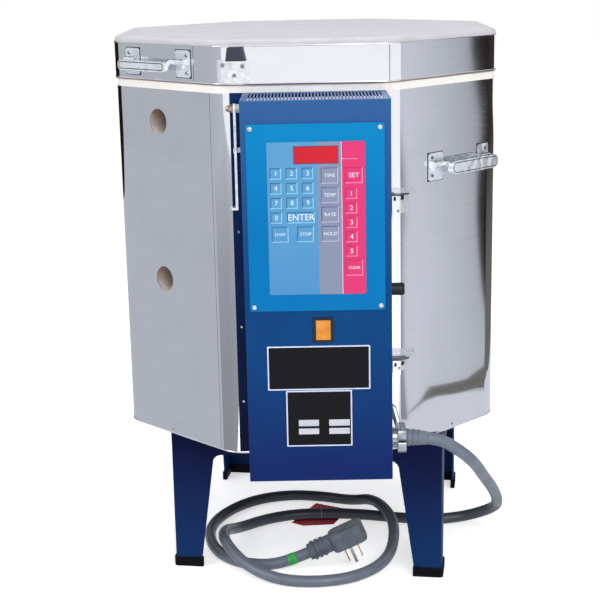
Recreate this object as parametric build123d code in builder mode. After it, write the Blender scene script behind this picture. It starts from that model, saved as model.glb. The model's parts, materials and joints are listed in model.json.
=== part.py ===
from build123d import *
from math import atan2, cos, degrees, radians, sin, sqrt, tan
import os

# Electric top loading ceramic kiln on a stand, all lengths in millimetres.
# The origin is on the floor under the octagon's centre, +Z is up and the
# control box looks along -Y.

# Main heights
stand_height = 226.0
board_thickness = 19.0
pan_thickness = 1.0
slab_thickness = 63.5
row_count = 4
brick_height = 114.3
board_low = stand_height + pan_thickness
slab_low = stand_height + 20.0
chamber_floor = slab_low + slab_thickness
chamber_top = chamber_floor + row_count * brick_height
jacket_top = 756.0

# Octagon, measured across its flats from the axis
brick_apothem = 285.8
brick_wall = 63.5
chamber_apothem = brick_apothem - brick_wall
jacket_sheet = 0.7
jacket_apothem = brick_apothem + jacket_sheet
bend_radius = 46.0
mitre_gap = 0.3

# Fits
running_fit = 0.05
moving_gap = 0.3

# Element grooves and elements
groove_offset = 37.0
groove_height = 12.0
groove_depth = 13.0
groove_mouth = 10.0
groove_lip = 3.5
rod_radius = 4.5
tail_radius = 2.5
lower_tail_x = -20.0
crossover_x = 28.0
upper_tail_x = 44.0
insulator_radius = 7.0
insulator_inner_y = -240.0
insulator_outer_y = -300.0
tail_end_y = -318.0

# Peepholes on the left front face
peephole_radius = 19.0
peephole_u = -22.0
peephole_heights = {1: 471.0, 3: 708.0}

# Thermocouple in the third row
thermocouple_radius = 5.0
thermocouple_x = 4.0
thermocouple_reach = 25.0

# Lid
lid_apothem = 287.4
lid_thickness = 63.5
lid_edge_radius = 6.0
lid_band_sheet = 0.7
lid_band_low = 768.5
lid_band_height = 53.0
lid_band_apothem = lid_apothem + lid_band_sheet

# Control box
box_left = -88.0
box_right = 112.0
box_front = -406.5
box_back = -287.3
box_low = 227.0
box_high = 757.0
box_sheet = 1.2
back_pan_sheet = box_back * -1 - jacket_apothem
back_pan_left = -107.0
back_pan_low = 229.0
clearance_hole = 9.0

os.makedirs("parts", exist_ok=True)
half_root = sqrt(0.5)


def octagon(apothem, rounded=True):
    """Octagon with flats square to X and Y, its bends concentric with the jacket's."""
    with BuildSketch() as outline:
        RegularPolygon(apothem, 8, major_radius=False, rotation=22.5)
        if rounded:
            fillet(outline.vertices(), bend_radius + apothem - jacket_apothem)
    return outline.sketch


def octagon_prism(apothem, low, height, rounded=True, mode=Mode.ADD):
    """Solid octagon between two levels, added to the part that calls it."""
    with BuildSketch(Plane.XY.offset(low)) as section:
        add(octagon(apothem, rounded))
    extrude(section.sketch, amount=height, mode=mode)


def octagon_band(outer, inner, low, height):
    """Sheet ring that follows the octagon."""
    with BuildSketch(Plane.XY.offset(low)) as section:
        add(octagon(outer))
        add(octagon(inner), mode=Mode.SUBTRACT)
    extrude(section.sketch, amount=height)


def wall_plane(angle, apothem):
    """Plane on one flat of the octagon: local X runs to the viewer's right, local Y is up."""
    out_x = cos(radians(angle))
    out_y = sin(radians(angle))
    return Plane(
        origin=(apothem * out_x, apothem * out_y, 0),
        x_dir=(-out_y, out_x, 0),
        z_dir=(out_x, out_y, 0),
    )


def across(face, u):
    """Plane square to a wall plane's local X, with local X up and local Y outward."""
    return Plane(origin=face.from_local_coords((u, 0, 0)), x_dir=face.y_dir, z_dir=face.x_dir)


def box_between(x_span, y_span, z_span, mode=Mode.ADD):
    """Rectangular block given by its two limits along each axis."""
    centre = [(low + high) / 2 for low, high in (x_span, y_span, z_span)]
    size = [high - low for low, high in (x_span, y_span, z_span)]
    with Locations(tuple(centre)):
        Box(*size, mode=mode)


def rod(start, direction, length, radius, mode=Mode.ADD):
    """Round bar from a point along a direction."""
    with BuildSketch(Plane(origin=start, z_dir=direction)) as section:
        Circle(radius)
    extrude(section.sketch, amount=length, mode=mode)


def finish(builder, name):
    """Label a part and write its STEP file."""
    builder.part.label = name
    export_step(builder.part, f"parts/{name}.step")


front_face = wall_plane(-90, jacket_apothem)
left_face = wall_plane(-135, jacket_apothem)
right_face = wall_plane(-45, jacket_apothem)
rear_left_face = wall_plane(135, jacket_apothem)
row_middles = [chamber_floor + (level + 0.5) * brick_height for level in range(row_count)]

# Stand: four tapered corner legs and four top rails of bent sheet
stand_half = 211.0
stand_turn = -8.5
stand_centre_x = 19.0
stand_sheet = 2.5
leg_foot_width = 41.5
leg_knee_width = 66.0
leg_knee_height = 178.0
leg_wing = 84.0
rail_depth = 38.0
rail_flange = 20.0
foot_rubber = 2.5
foot_height = 15.0
foot_base = 3.0
knee_radius = 14.0
stand_place = Location((stand_centre_x, 0, 0), (0, 0, stand_turn))


def leg_outline():
    """One side of a leg: local X runs away from the corner, local Y is up."""
    rail_low = stand_height - rail_depth
    with BuildSketch() as side:
        with BuildLine():
            Polyline(
                (0, foot_base),
                (leg_foot_width, foot_base),
                (leg_knee_width, leg_knee_height),
                (leg_knee_width + 4, rail_low),
                (leg_wing, rail_low),
                (leg_wing, stand_height),
                (0, stand_height),
                close=True,
            )
        make_face()
        knee = side.vertices().sort_by_distance((leg_knee_width + 4, rail_low, 0))[0]
        fillet(knee, knee_radius)
    return side.sketch


with BuildPart() as leg:
    with BuildSketch(Plane((stand_half, stand_half, 0), x_dir=(0, -1, 0), z_dir=(-1, 0, 0))):
        add(leg_outline())
    extrude(amount=stand_sheet)
    with BuildSketch(Plane((stand_half, stand_half, 0), x_dir=(-1, 0, 0), z_dir=(0, 1, 0))):
        add(leg_outline())
    extrude(amount=-stand_sheet)
    with BuildSketch(Plane.XY.offset(stand_height - stand_sheet)):
        with BuildLine():
            Polyline(
                (stand_half, stand_half),
                (stand_half - leg_wing, stand_half),
                (stand_half - leg_wing, stand_half - rail_flange),
                (stand_half - rail_flange - 30, stand_half - rail_flange),
                (stand_half - rail_flange, stand_half - rail_flange - 30),
                (stand_half - rail_flange, stand_half - leg_wing),
                (stand_half, stand_half - leg_wing),
                close=True,
            )
        make_face()
    extrude(amount=stand_sheet)
    corner = leg.edges().filter_by(Axis.Z).sort_by_distance((stand_half, stand_half, 100))[0]
    fillet(corner, 4.0)

with BuildPart() as stand_legs:
    with Locations(stand_place):
        with PolarLocations(0, 4):
            add(leg.part)
finish(stand_legs, "stand_legs")

rail_length = 2 * (stand_half - leg_wing)
with BuildPart() as rail:
    with BuildSketch(Plane.YZ.offset(-rail_length / 2)):
        with BuildLine():
            Polyline(
                (-stand_half, stand_height),
                (-stand_half, stand_height - rail_depth),
                (-stand_half + stand_sheet, stand_height - rail_depth),
                (-stand_half + stand_sheet, stand_height - stand_sheet),
                (-stand_half + rail_flange, stand_height - stand_sheet),
                (-stand_half + rail_flange, stand_height),
                close=True,
            )
        make_face()
    extrude(amount=rail_length)

with BuildPart() as stand_rails:
    with Locations(stand_place):
        with PolarLocations(0, 4):
            add(rail.part)
finish(stand_rails, "stand_rails")

foot_width = 47.0
with BuildPart() as foot:
    foot_outer = stand_half + foot_rubber
    foot_inner = stand_half - stand_sheet - foot_rubber
    box_between((foot_outer - foot_width, foot_outer), (foot_inner, foot_outer), (0, foot_height))
    box_between((foot_inner, foot_outer), (foot_outer - foot_width, foot_outer), (0, foot_height))
    outer_edge = foot.edges().filter_by(Axis.Z).sort_by_distance((foot_outer, foot_outer, 8))[0]
    fillet(outer_edge, 6.0)
    add(leg.part, mode=Mode.SUBTRACT)

with BuildPart() as rubber_feet:
    with Locations(stand_place):
        with PolarLocations(0, 4):
            add(foot.part)
finish(rubber_feet, "rubber_feet")

# Floor of the kiln
with BuildPart() as base_pan:
    octagon_prism(brick_apothem, stand_height, pan_thickness)
finish(base_pan, "base_pan")

with BuildPart() as base_board:
    octagon_prism(brick_apothem, board_low, slab_low - board_low)
finish(base_board, "base_board")

with BuildPart() as floor_slab:
    octagon_prism(brick_apothem, slab_low, slab_thickness)
finish(floor_slab, "floor_slab")

# Brick rows: eight mitred bricks with two element grooves each
for level in range(row_count):
    low = chamber_floor + level * brick_height
    middle = row_middles[level]
    with BuildPart() as brick_row:
        with BuildSketch(Plane.XY.offset(low)):
            add(octagon(brick_apothem))
            add(octagon(chamber_apothem, rounded=False), mode=Mode.SUBTRACT)
            with PolarLocations(brick_apothem - brick_wall / 2, 8, start_angle=22.5):
                Rectangle(3 * brick_wall, mitre_gap, mode=Mode.SUBTRACT)
        extrude(amount=brick_height)
        for side in (-1, 1):
            groove_middle = middle + side * groove_offset
            octagon_prism(
                chamber_apothem + groove_lip,
                groove_middle - groove_mouth / 2,
                groove_mouth,
                rounded=False,
                mode=Mode.SUBTRACT,
            )
            with BuildSketch(Plane.XY.offset(groove_middle - groove_height / 2)) as pocket:
                add(octagon(chamber_apothem + groove_depth, rounded=False))
                add(octagon(chamber_apothem + groove_lip - 0.5, rounded=False), mode=Mode.SUBTRACT)
            extrude(pocket.sketch, amount=groove_height, mode=Mode.SUBTRACT)
        box_between(
            (crossover_x - groove_height / 2, crossover_x + groove_height / 2),
            (-chamber_apothem - groove_depth, -chamber_apothem + 5),
            (middle - groove_offset, middle + groove_offset),
            mode=Mode.SUBTRACT,
        )
        for tail_x, side in ((lower_tail_x, -1), (upper_tail_x, 1)):
            tail_z = middle + side * groove_offset
            rod((tail_x, -jacket_apothem, tail_z), (0, 1, 0), jacket_apothem + insulator_inner_y,
                insulator_radius, mode=Mode.SUBTRACT)
            rod((tail_x, -jacket_apothem, tail_z), (0, 1, 0), 55.0, tail_radius, mode=Mode.SUBTRACT)
        if level in peephole_heights:
            with BuildSketch(left_face) as sight:
                with Locations((peephole_u, peephole_heights[level])):
                    Circle(peephole_radius)
            extrude(sight.sketch, amount=-2 * brick_wall, mode=Mode.SUBTRACT)
        if level == 2:
            rod((thermocouple_x, -jacket_apothem, middle), (0, 1, 0), 2 * brick_wall,
                thermocouple_radius, mode=Mode.SUBTRACT)
    finish(brick_row, f"brick_row_{level + 1}")

# Heating elements: two turns of rod per row, joined by a crossover, with tails to the box
rod_apothem = chamber_apothem + groove_depth - rod_radius - 0.6
rod_half_side = rod_apothem * tan(radians(22.5))


def element_turn(height, start_x, end_x):
    """Points of one turn, clockwise from above, starting and ending on the front side."""
    points = [(start_x, -rod_apothem, height)]
    for corner_index in range(8):
        angle = radians(-112.5 - 45 * corner_index)
        reach = rod_apothem / cos(radians(22.5))
        points.append((reach * cos(angle), reach * sin(angle), height))
    points.append((end_x, -rod_apothem, height))
    return points


with BuildPart() as element:
    with BuildLine() as element_path:
        lower_turn = element_turn(-groove_offset, lower_tail_x, crossover_x)
        upper_turn = element_turn(groove_offset, crossover_x, upper_tail_x)
        FilletPolyline(*lower_turn, *upper_turn, radius=8.0)
    with BuildSketch(Plane((lower_tail_x, -rod_apothem, -groove_offset), z_dir=(-1, 0, 0))):
        Circle(rod_radius)
    sweep(path=element_path.line)
    for tail_x, side in ((lower_tail_x, -1), (upper_tail_x, 1)):
        rod((tail_x, -rod_apothem, side * groove_offset), (0, -1, 0),
            -tail_end_y - rod_apothem, tail_radius)

with BuildPart() as heating_elements:
    with Locations([(0, 0, middle) for middle in row_middles]):
        add(element.part)
finish(heating_elements, "heating_elements")

with BuildPart() as terminal_insulators:
    for middle in row_middles:
        for tail_x, side in ((lower_tail_x, -1), (upper_tail_x, 1)):
            tail_z = middle + side * groove_offset
            rod((tail_x, insulator_inner_y, tail_z), (0, -1, 0),
                insulator_inner_y - insulator_outer_y, insulator_radius)
            rod((tail_x, insulator_inner_y, tail_z), (0, -1, 0),
                insulator_inner_y - insulator_outer_y, tail_radius, mode=Mode.SUBTRACT)
finish(terminal_insulators, "terminal_insulators")

with BuildPart() as element_connectors:
    for middle in row_middles:
        for tail_x, side in ((lower_tail_x, -1), (upper_tail_x, 1)):
            tail_z = middle + side * groove_offset
            rod((tail_x, insulator_outer_y - 4, tail_z), (0, -1, 0), 13.0, 5.0)
            rod((tail_x, insulator_outer_y - 4, tail_z), (0, -1, 0), 13.0, tail_radius,
                mode=Mode.SUBTRACT)
            rod((tail_x, insulator_outer_y - 10, tail_z + tail_radius), (0, 0, 1), 5.5, 1.8)
finish(element_connectors, "element_connectors")

thermocouple_z = row_middles[2]
with BuildPart() as thermocouple_tube:
    rod((thermocouple_x, -chamber_apothem + thermocouple_reach, thermocouple_z), (0, -1, 0),
        -box_back - chamber_apothem + thermocouple_reach, thermocouple_radius)
    tip = thermocouple_tube.faces().sort_by(Axis.Y)[-1]
    fillet(tip.edges(), 2.0)
    box_between(
        (thermocouple_x - 15, thermocouple_x + 15),
        (box_back - 16, box_back),
        (thermocouple_z - 10, thermocouple_z + 10),
    )
finish(thermocouple_tube, "thermocouple_tube")

# Jacket: stainless skin with the peepholes and the windows behind the box
with BuildPart() as jacket:
    octagon_band(jacket_apothem, brick_apothem, stand_height, jacket_top - stand_height)
    with BuildSketch(left_face) as sights:
        with Locations([(peephole_u, height) for height in peephole_heights.values()]):
            Circle(peephole_radius)
    extrude(sights.sketch, amount=-2.0, mode=Mode.SUBTRACT)
    for middle in row_middles:
        for tail_x, side in ((lower_tail_x, -1), (upper_tail_x, 1)):
            rod((tail_x, -brick_apothem + 2, middle + side * groove_offset), (0, -1, 0), 5.0,
                clearance_hole, mode=Mode.SUBTRACT)
    rod((thermocouple_x, -brick_apothem + 2, thermocouple_z), (0, -1, 0), 5.0, clearance_hole,
        mode=Mode.SUBTRACT)
finish(jacket, "jacket")

# Control box: flanged back pan and the blue cover with its vents and openings
plate_x = (-81.0, 103.0)
plate_z = (472.5, 726.5)
plate_sheet = 1.5
plate_front = box_front - plate_sheet
plate_margin = 19.0
rocker_x = 18.0
rocker_z = 445.0
rocker_radius = 14.4
rocker_width = 20.0
bezel_size = (27.5, 33.8)
bezel_thickness = 2.0
rocker_body = (24.0, 31.0)
rocker_depth = 24.0
fuse_y = -370.0
fuse_z = 492.0
fuse_body_radius = 6.0
clamp_y = -345.0
clamp_z = 267.0
clamp_radius = 15.0
arm_y = -312.0
arm_z = 738.0
bolt_radius = 3.0
vent_count = 40
vent_pitch = 4.6
vent_width = 2.3
vent_y = (-398.0, -300.0)

with BuildPart() as box_back_pan:
    box_between(
        (back_pan_left, box_right),
        (box_back, box_back + back_pan_sheet),
        (back_pan_low, box_high),
    )
    for middle in row_middles:
        for tail_x, side in ((lower_tail_x, -1), (upper_tail_x, 1)):
            rod((tail_x, box_back - 1, middle + side * groove_offset), (0, 1, 0), 3.0,
                clearance_hole, mode=Mode.SUBTRACT)
    rod((thermocouple_x, box_back - 1, thermocouple_z), (0, 1, 0), 3.0, thermocouple_radius,
        mode=Mode.SUBTRACT)
finish(box_back_pan, "box_back_pan")

with BuildPart() as box_cover:
    box_between((box_left, box_right), (box_front, box_back), (box_low, box_high))
    upright = box_cover.edges().filter_by(Axis.Z).group_by(Axis.Y)[0]
    fillet(upright, 2.5)
    box_between(
        (box_left + box_sheet, box_right - box_sheet),
        (box_front + box_sheet, box_back),
        (box_low + box_sheet, box_high - box_sheet),
        mode=Mode.SUBTRACT,
    )
    box_between(
        (plate_x[0] + plate_margin, plate_x[1] - plate_margin),
        (box_front, box_front + box_sheet),
        (plate_z[0] + plate_margin, plate_z[1] - plate_margin),
        mode=Mode.SUBTRACT,
    )
    box_between(
        (rocker_x - rocker_body[0] / 2, rocker_x + rocker_body[0] / 2),
        (box_front, box_front + box_sheet),
        (rocker_z - rocker_body[1] / 2, rocker_z + rocker_body[1] / 2),
        mode=Mode.SUBTRACT,
    )
    for level in (box_low, box_high - box_sheet):
        with BuildSketch(Plane.XY.offset(level)) as vents:
            with Locations(((box_left + box_right) / 2, sum(vent_y) / 2)):
                with GridLocations(vent_pitch, 1, vent_count, 1):
                    Rectangle(vent_width, vent_y[1] - vent_y[0])
        extrude(vents.sketch, amount=box_sheet, mode=Mode.SUBTRACT)
    rod((box_left, arm_y, arm_z), (1, 0, 0), box_sheet, bolt_radius, mode=Mode.SUBTRACT)
    rod((box_right, fuse_y, fuse_z), (-1, 0, 0), box_sheet, fuse_body_radius, mode=Mode.SUBTRACT)
    rod((box_right, clamp_y, clamp_z), (-1, 0, 0), box_sheet, clamp_radius - 3, mode=Mode.SUBTRACT)
finish(box_cover, "box_cover")

# Faceplate, display and keypad
display_x = (-17.1, 40.7)
display_z = (674.1, 696.1)
ribbon_x = (-3.0, 27.0)
ribbon_z = (550.0, 554.0)
plate_screw_inset = 6.0
screw_shank = 1.8
membrane_x = (-53.5, 77.0)
membrane_z = (495.5, 702.5)
membrane_thickness = 0.5
key_rise = 0.6
key_corner = 1.5

with BuildPart() as faceplate:
    with BuildSketch(Plane.XZ.offset(-box_front)) as plate_shape:
        with Locations((sum(plate_x) / 2, sum(plate_z) / 2)):
            RectangleRounded(plate_x[1] - plate_x[0], plate_z[1] - plate_z[0], 3.0)
            with GridLocations(
                plate_x[1] - plate_x[0] - 2 * plate_screw_inset,
                plate_z[1] - plate_z[0] - 2 * plate_screw_inset, 2, 2,
            ):
                Circle(screw_shank, mode=Mode.SUBTRACT)
        with Locations((sum(display_x) / 2, sum(display_z) / 2)):
            Rectangle(display_x[1] - display_x[0], display_z[1] - display_z[0], mode=Mode.SUBTRACT)
        with Locations((sum(ribbon_x) / 2, sum(ribbon_z) / 2)):
            Rectangle(ribbon_x[1] - ribbon_x[0], ribbon_z[1] - ribbon_z[0], mode=Mode.SUBTRACT)
    extrude(plate_shape.sketch, amount=plate_sheet)
finish(faceplate, "faceplate")

plate_screw_spots = [
    (plate_x[0] + plate_screw_inset, plate_z[0] + plate_screw_inset),
    (plate_x[0] + plate_screw_inset, plate_z[1] - plate_screw_inset),
    (plate_x[1] - plate_screw_inset, plate_z[0] + plate_screw_inset),
    (plate_x[1] - plate_screw_inset, plate_z[1] - plate_screw_inset),
]
with BuildPart() as faceplate_screws:
    for spot_x, spot_z in plate_screw_spots:
        rod((spot_x, plate_front, spot_z), (0, 1, 0), plate_sheet, screw_shank)
        rod((spot_x, plate_front, spot_z), (0, -1, 0), 1.8, 3.4)
    outer_rims = faceplate_screws.edges().filter_by(GeomType.CIRCLE).group_by(Axis.Y)[0]
    fillet(outer_rims, 1.2)
finish(faceplate_screws, "faceplate_screws")

# Key tops as (centre x, centre z, width, height)
digit_columns = (-42.25, -21.0, 0.3)
digit_size = (15.0, 14.7)
digit_top_row = 660.75
digit_pitch = 19.8
key_tops = [
    (column, digit_top_row - digit_pitch * line, *digit_size)
    for line in range(3)
    for column in digit_columns
]
key_tops.append((digit_columns[0], digit_top_row - 3 * digit_pitch, *digit_size))
key_tops.append((-9.4, digit_top_row - 3 * digit_pitch, 36.6, digit_size[1]))
key_tops.extend([(-37.7, 578.6, 22.2, 20.8), (-3.8, 578.6, 22.0, 20.8)])
key_tops.extend([(29.5, 657.3 - 26.2 * line, 23.0, 21.0) for line in range(4)])
key_tops.append((61.85, 657.15, 23.0, 21.0))
key_tops.extend([(58.1, 632.8 - 19.6 * line, 15.2, 14.4) for line in range(5)])
key_tops.append((61.25, 531.7, 23.0, 21.4))

with BuildPart() as keypad_membrane:
    with BuildSketch(Plane.XZ.offset(-plate_front)) as overlay:
        with Locations((sum(membrane_x) / 2, sum(membrane_z) / 2)):
            RectangleRounded(membrane_x[1] - membrane_x[0], membrane_z[1] - membrane_z[0], 2.0)
        with Locations((sum(display_x) / 2, sum(display_z) / 2)):
            Rectangle(display_x[1] - display_x[0], display_z[1] - display_z[0], mode=Mode.SUBTRACT)
    extrude(overlay.sketch, amount=membrane_thickness)
    with BuildSketch(Plane.XZ.offset(-plate_front + membrane_thickness)) as keys:
        for key_x, key_z, key_width, key_height in key_tops:
            with Locations((key_x, key_z)):
                RectangleRounded(key_width, key_height, key_corner)
    extrude(keys.sketch, amount=key_rise)
finish(keypad_membrane, "keypad_membrane")

board_y = -395.0
board_x = (-50.0, 74.0)
board_z = (497.0, 703.0)
board_thickness_y = 1.6
post_inset = 5.0

with BuildPart() as display_lens:
    box_between(display_x, (plate_front - membrane_thickness, box_front), display_z)
finish(display_lens, "display_lens")

with BuildPart() as display_module:
    box_between(
        (display_x[0] - 1.5, display_x[1] + 1.5),
        (box_front, board_y),
        (display_z[0] - 1.0, display_z[1] + 1.0),
    )
finish(display_module, "display_module")

with BuildPart() as controller_board:
    box_between(board_x, (board_y, board_y + board_thickness_y), board_z)
    for post_x in (board_x[0] + post_inset, board_x[1] - post_inset):
        for post_z in (board_z[0] + post_inset, board_z[1] - post_inset):
            rod((post_x, board_y, post_z), (0, -1, 0), board_y - box_front, 3.0)
finish(controller_board, "controller_board")

board_back = board_y + board_thickness_y
with BuildPart() as board_components:
    for relay_x in (-36.0, 2.0, 40.0):
        box_between((relay_x, relay_x + 28), (board_back, board_back + 20), (510, 530))
    box_between((-30, 8), (board_back, board_back + 4), (590, 604))
    box_between((20, 60), (board_back, board_back + 9), (640, 652))
    for can_x in (-28.0, -10.0):
        rod((can_x, board_back, 655), (0, 1, 0), 16.0, 6.5)
finish(board_components, "board_components")

# Power parts on the back pan
with BuildPart() as power_relays:
    for relay_x, relay_z in ((-80.0, 430.0), (62.0, 430.0), (62.0, 560.0)):
        box_between((relay_x, relay_x + 40), (box_back - 4, box_back), (relay_z, relay_z + 70))
        box_between(
            (relay_x + 3, relay_x + 37),
            (box_back - 34, box_back - 4),
            (relay_z + 10, relay_z + 60),
        )
finish(power_relays, "power_relays")

with BuildPart() as transformer:
    box_between((-82, -38), (box_back - 3, box_back), (345, 405))
    box_between((-80, -40), (box_back - 38, box_back - 3), (356, 394))
    box_between((-76, -44), (box_back - 42, box_back - 3), (362, 388))
finish(transformer, "transformer")

with BuildPart() as terminal_block:
    box_between((30, 90), (box_back - 24, box_back), (286, 310))
    for way in range(3):
        box_between(
            (36 + 18 * way, 48 + 18 * way),
            (box_back - 24, box_back - 12),
            (286, 310),
            mode=Mode.SUBTRACT,
        )
finish(terminal_block, "terminal_block")

# Power switch: bezel with a round pocket and the rocker that tips in it
rocker_pivot_y = -404.0
pivot_radius = 1.5
with BuildPart() as rocker_housing:
    box_between(
        (rocker_x - rocker_body[0] / 2, rocker_x + rocker_body[0] / 2),
        (box_front, box_front + rocker_depth),
        (rocker_z - rocker_body[1] / 2, rocker_z + rocker_body[1] / 2),
    )
    box_between(
        (rocker_x - bezel_size[0] / 2, rocker_x + bezel_size[0] / 2),
        (box_front - bezel_thickness, box_front),
        (rocker_z - bezel_size[1] / 2, rocker_z + bezel_size[1] / 2),
    )
    half_pocket = rocker_width / 2 + moving_gap
    rod((rocker_x - half_pocket, rocker_pivot_y, rocker_z), (1, 0, 0), 2 * half_pocket,
        rocker_radius + moving_gap, mode=Mode.SUBTRACT)
    rod((rocker_x - half_pocket - 1.2, rocker_pivot_y, rocker_z), (1, 0, 0),
        2 * half_pocket + 2.4, pivot_radius + running_fit, mode=Mode.SUBTRACT)
finish(rocker_housing, "rocker_housing")

with BuildPart() as rocker_button:
    with BuildSketch(Plane((rocker_x - rocker_width / 2, rocker_pivot_y, rocker_z),
                           x_dir=(0, 1, 0), z_dir=(1, 0, 0))) as rocker_shape:
        Circle(rocker_radius)
        with BuildLine() as rocker_limits:
            Polyline(
                (-4.6, -16), (-2.6, 0), (-4.6, 16), (-20, 16), (-20, -16), close=True,
            )
        make_face(mode=Mode.SUBTRACT)
        with Locations((12, 0)):
            Rectangle(14, 40, mode=Mode.SUBTRACT)
    extrude(rocker_shape.sketch, amount=rocker_width)
    rod((rocker_x - rocker_width / 2 - 1.2, rocker_pivot_y, rocker_z), (1, 0, 0),
        rocker_width + 2.4, pivot_radius)
finish(rocker_button, "rocker_button")

# Fuse holder on the right wall with its twist cap
fuse_nut_x = 121.5
fuse_cap_x = fuse_nut_x + moving_gap
fuse_cap_length = 9.2
fuse_stem_radius = 4.6
with BuildPart() as fuse_holder:
    rod((box_right, fuse_y, fuse_z), (1, 0, 0), fuse_nut_x - box_right, 8.6)
    rod((box_right, fuse_y, fuse_z), (-1, 0, 0), 34.0, fuse_body_radius)
    rod((fuse_nut_x, fuse_y, fuse_z), (-1, 0, 0), 30.0, fuse_stem_radius + running_fit,
        mode=Mode.SUBTRACT)
finish(fuse_holder, "fuse_holder")

with BuildPart() as fuse_cap:
    rod((fuse_cap_x, fuse_y, fuse_z), (1, 0, 0), fuse_cap_length, 8.8)
    rod((fuse_cap_x, fuse_y, fuse_z), (-1, 0, 0), 24.0, fuse_stem_radius)
    cap_rim = fuse_cap.faces().sort_by(Axis.X)[-1].edges()
    chamfer(cap_rim, 2.4, 1.2)
    slot_x = fuse_cap_x + fuse_cap_length
    box_between((slot_x - 1.5, slot_x), (fuse_y - 5, fuse_y + 5), (fuse_z - 0.8, fuse_z + 0.8),
                mode=Mode.SUBTRACT)
finish(fuse_cap, "fuse_cap")

# Prop arm on a bolt through the box's left wall
arm_sheet = 3.4
arm_x = (-100.7, -97.3)
arm_width = 14.0
arm_length = 141.0
hook_length = 8.0
spacer_radius = 6.0
washer_x = arm_x[0] - moving_gap

with BuildPart() as prop_bolt:
    rod((box_left + box_sheet + 4, arm_y, arm_z), (-1, 0, 0),
        box_left + box_sheet + 4 + 112.0, bolt_radius)
    with BuildSketch(Plane((box_left + box_sheet, arm_y, arm_z), z_dir=(1, 0, 0))):
        RegularPolygon(6.0, 6)
    extrude(amount=4)
finish(prop_bolt, "prop_bolt")

with BuildPart() as prop_spacer:
    rod((box_left, arm_y, arm_z), (-1, 0, 0), box_left - arm_x[1] - moving_gap, spacer_radius)
    rod((box_left, arm_y, arm_z), (-1, 0, 0), box_left - arm_x[1] - moving_gap, bolt_radius,
        mode=Mode.SUBTRACT)
finish(prop_spacer, "prop_spacer")

with BuildPart() as acorn_nut:
    rod((washer_x, arm_y, arm_z), (-1, 0, 0), 1.0, 7.0)
    with BuildSketch(Plane((washer_x - 1.0, arm_y, arm_z), z_dir=(-1, 0, 0))):
        RegularPolygon(5.8, 6)
    extrude(amount=4.2)
    with Locations((washer_x - 5.2, arm_y, arm_z)):
        Sphere(5.0)
    rod((washer_x + 2, arm_y, arm_z), (-1, 0, 0), washer_x + 2 + 112.0, bolt_radius,
        mode=Mode.SUBTRACT)
    box_between((washer_x, 0), (arm_y - 10, arm_y + 10), (arm_z - 10, arm_z + 10),
                mode=Mode.SUBTRACT)
finish(acorn_nut, "acorn_nut")

with BuildPart() as prop_arm:
    with BuildSketch(Plane((arm_x[0], 0, 0), x_dir=(0, 1, 0), z_dir=(1, 0, 0))) as arm_shape:
        with Locations((arm_y, arm_z - arm_length / 2)):
            Rectangle(arm_width, arm_length)
        with Locations((arm_y, arm_z)):
            Circle(arm_width / 2)
            Circle(bolt_radius + running_fit, mode=Mode.SUBTRACT)
    extrude(arm_shape.sketch, amount=arm_sheet)
    box_between(
        (arm_x[0] - hook_length, arm_x[1]),
        (arm_y - arm_width / 2, arm_y + arm_width / 2),
        (arm_z - arm_length, arm_z - arm_length + arm_sheet),
    )
    hook_tips = prop_arm.edges().filter_by(Axis.Z).group_by(Axis.X)[0]
    fillet(hook_tips, 3.0)
finish(prop_arm, "prop_arm")

clip_z = (676.0, 683.0)
clip_back_y = arm_y + arm_width / 2 + moving_gap
with BuildPart() as prop_clip:
    box_between((arm_x[0] - 1.6, box_left), (clip_back_y, clip_back_y + 1.6), clip_z)
    box_between((arm_x[0] - 1.6, arm_x[0] - 0.5), (clip_back_y - 8, clip_back_y), clip_z)
    box_between((box_left - 1.6, box_left), (clip_back_y - 6, clip_back_y + 12),
                (clip_z[0] - 4, clip_z[1] + 8))
finish(prop_clip, "prop_clip")

# Side brackets that stay the box against the jacket's right front bend
stay_sheet = 1.5
stay_apothem = jacket_apothem + stay_sheet
stay_shelf_y = -314.0
stay_levels = ((612.0, 580.0, 121.0), (372.0, 346.0, 137.0))
stay_plate_x = (114.0, 144.0)
stay_shelf_x = 153.0
stay_tab_y = -300.0

with BuildPart() as box_stays:
    for shelf_z, plate_low, tab_end in stay_levels:
        with BuildSketch(Plane.XY.offset(plate_low)) as stay_plate:
            with Locations((sum(stay_plate_x) / 2, -270)):
                Rectangle(stay_plate_x[1] - stay_plate_x[0], 120)
            add(octagon(stay_apothem), mode=Mode.INTERSECT)
            add(octagon(jacket_apothem), mode=Mode.SUBTRACT)
        extrude(stay_plate.sketch, amount=shelf_z - plate_low)
        with BuildSketch(Plane.XY.offset(shelf_z)) as stay_shelf:
            with Locations(((stay_plate_x[0] + stay_shelf_x) / 2, stay_shelf_y / 2)):
                Rectangle(stay_shelf_x - stay_plate_x[0], -stay_shelf_y)
            with Locations((stay_shelf_x, stay_shelf_y)):
                Rectangle(34, 34, rotation=45, mode=Mode.SUBTRACT)
            add(octagon(jacket_apothem), mode=Mode.SUBTRACT)
        extrude(stay_shelf.sketch, amount=2.0)
        box_between((118.0, 120.0), (stay_shelf_y, -285.0), (plate_low, shelf_z))
    octagon_prism(jacket_apothem, stand_height, 500, mode=Mode.SUBTRACT)
finish(box_stays, "box_stays")

with BuildPart() as box_tabs:
    for shelf_z, plate_low, tab_end in stay_levels:
        box_between((box_right, tab_end), (stay_shelf_y, stay_tab_y), (shelf_z + 2, shelf_z + 4))
        box_between((box_right, box_right + 2), (stay_shelf_y, stay_tab_y),
                    (shelf_z + 4, shelf_z + 16))
finish(box_tabs, "box_tabs")

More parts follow.
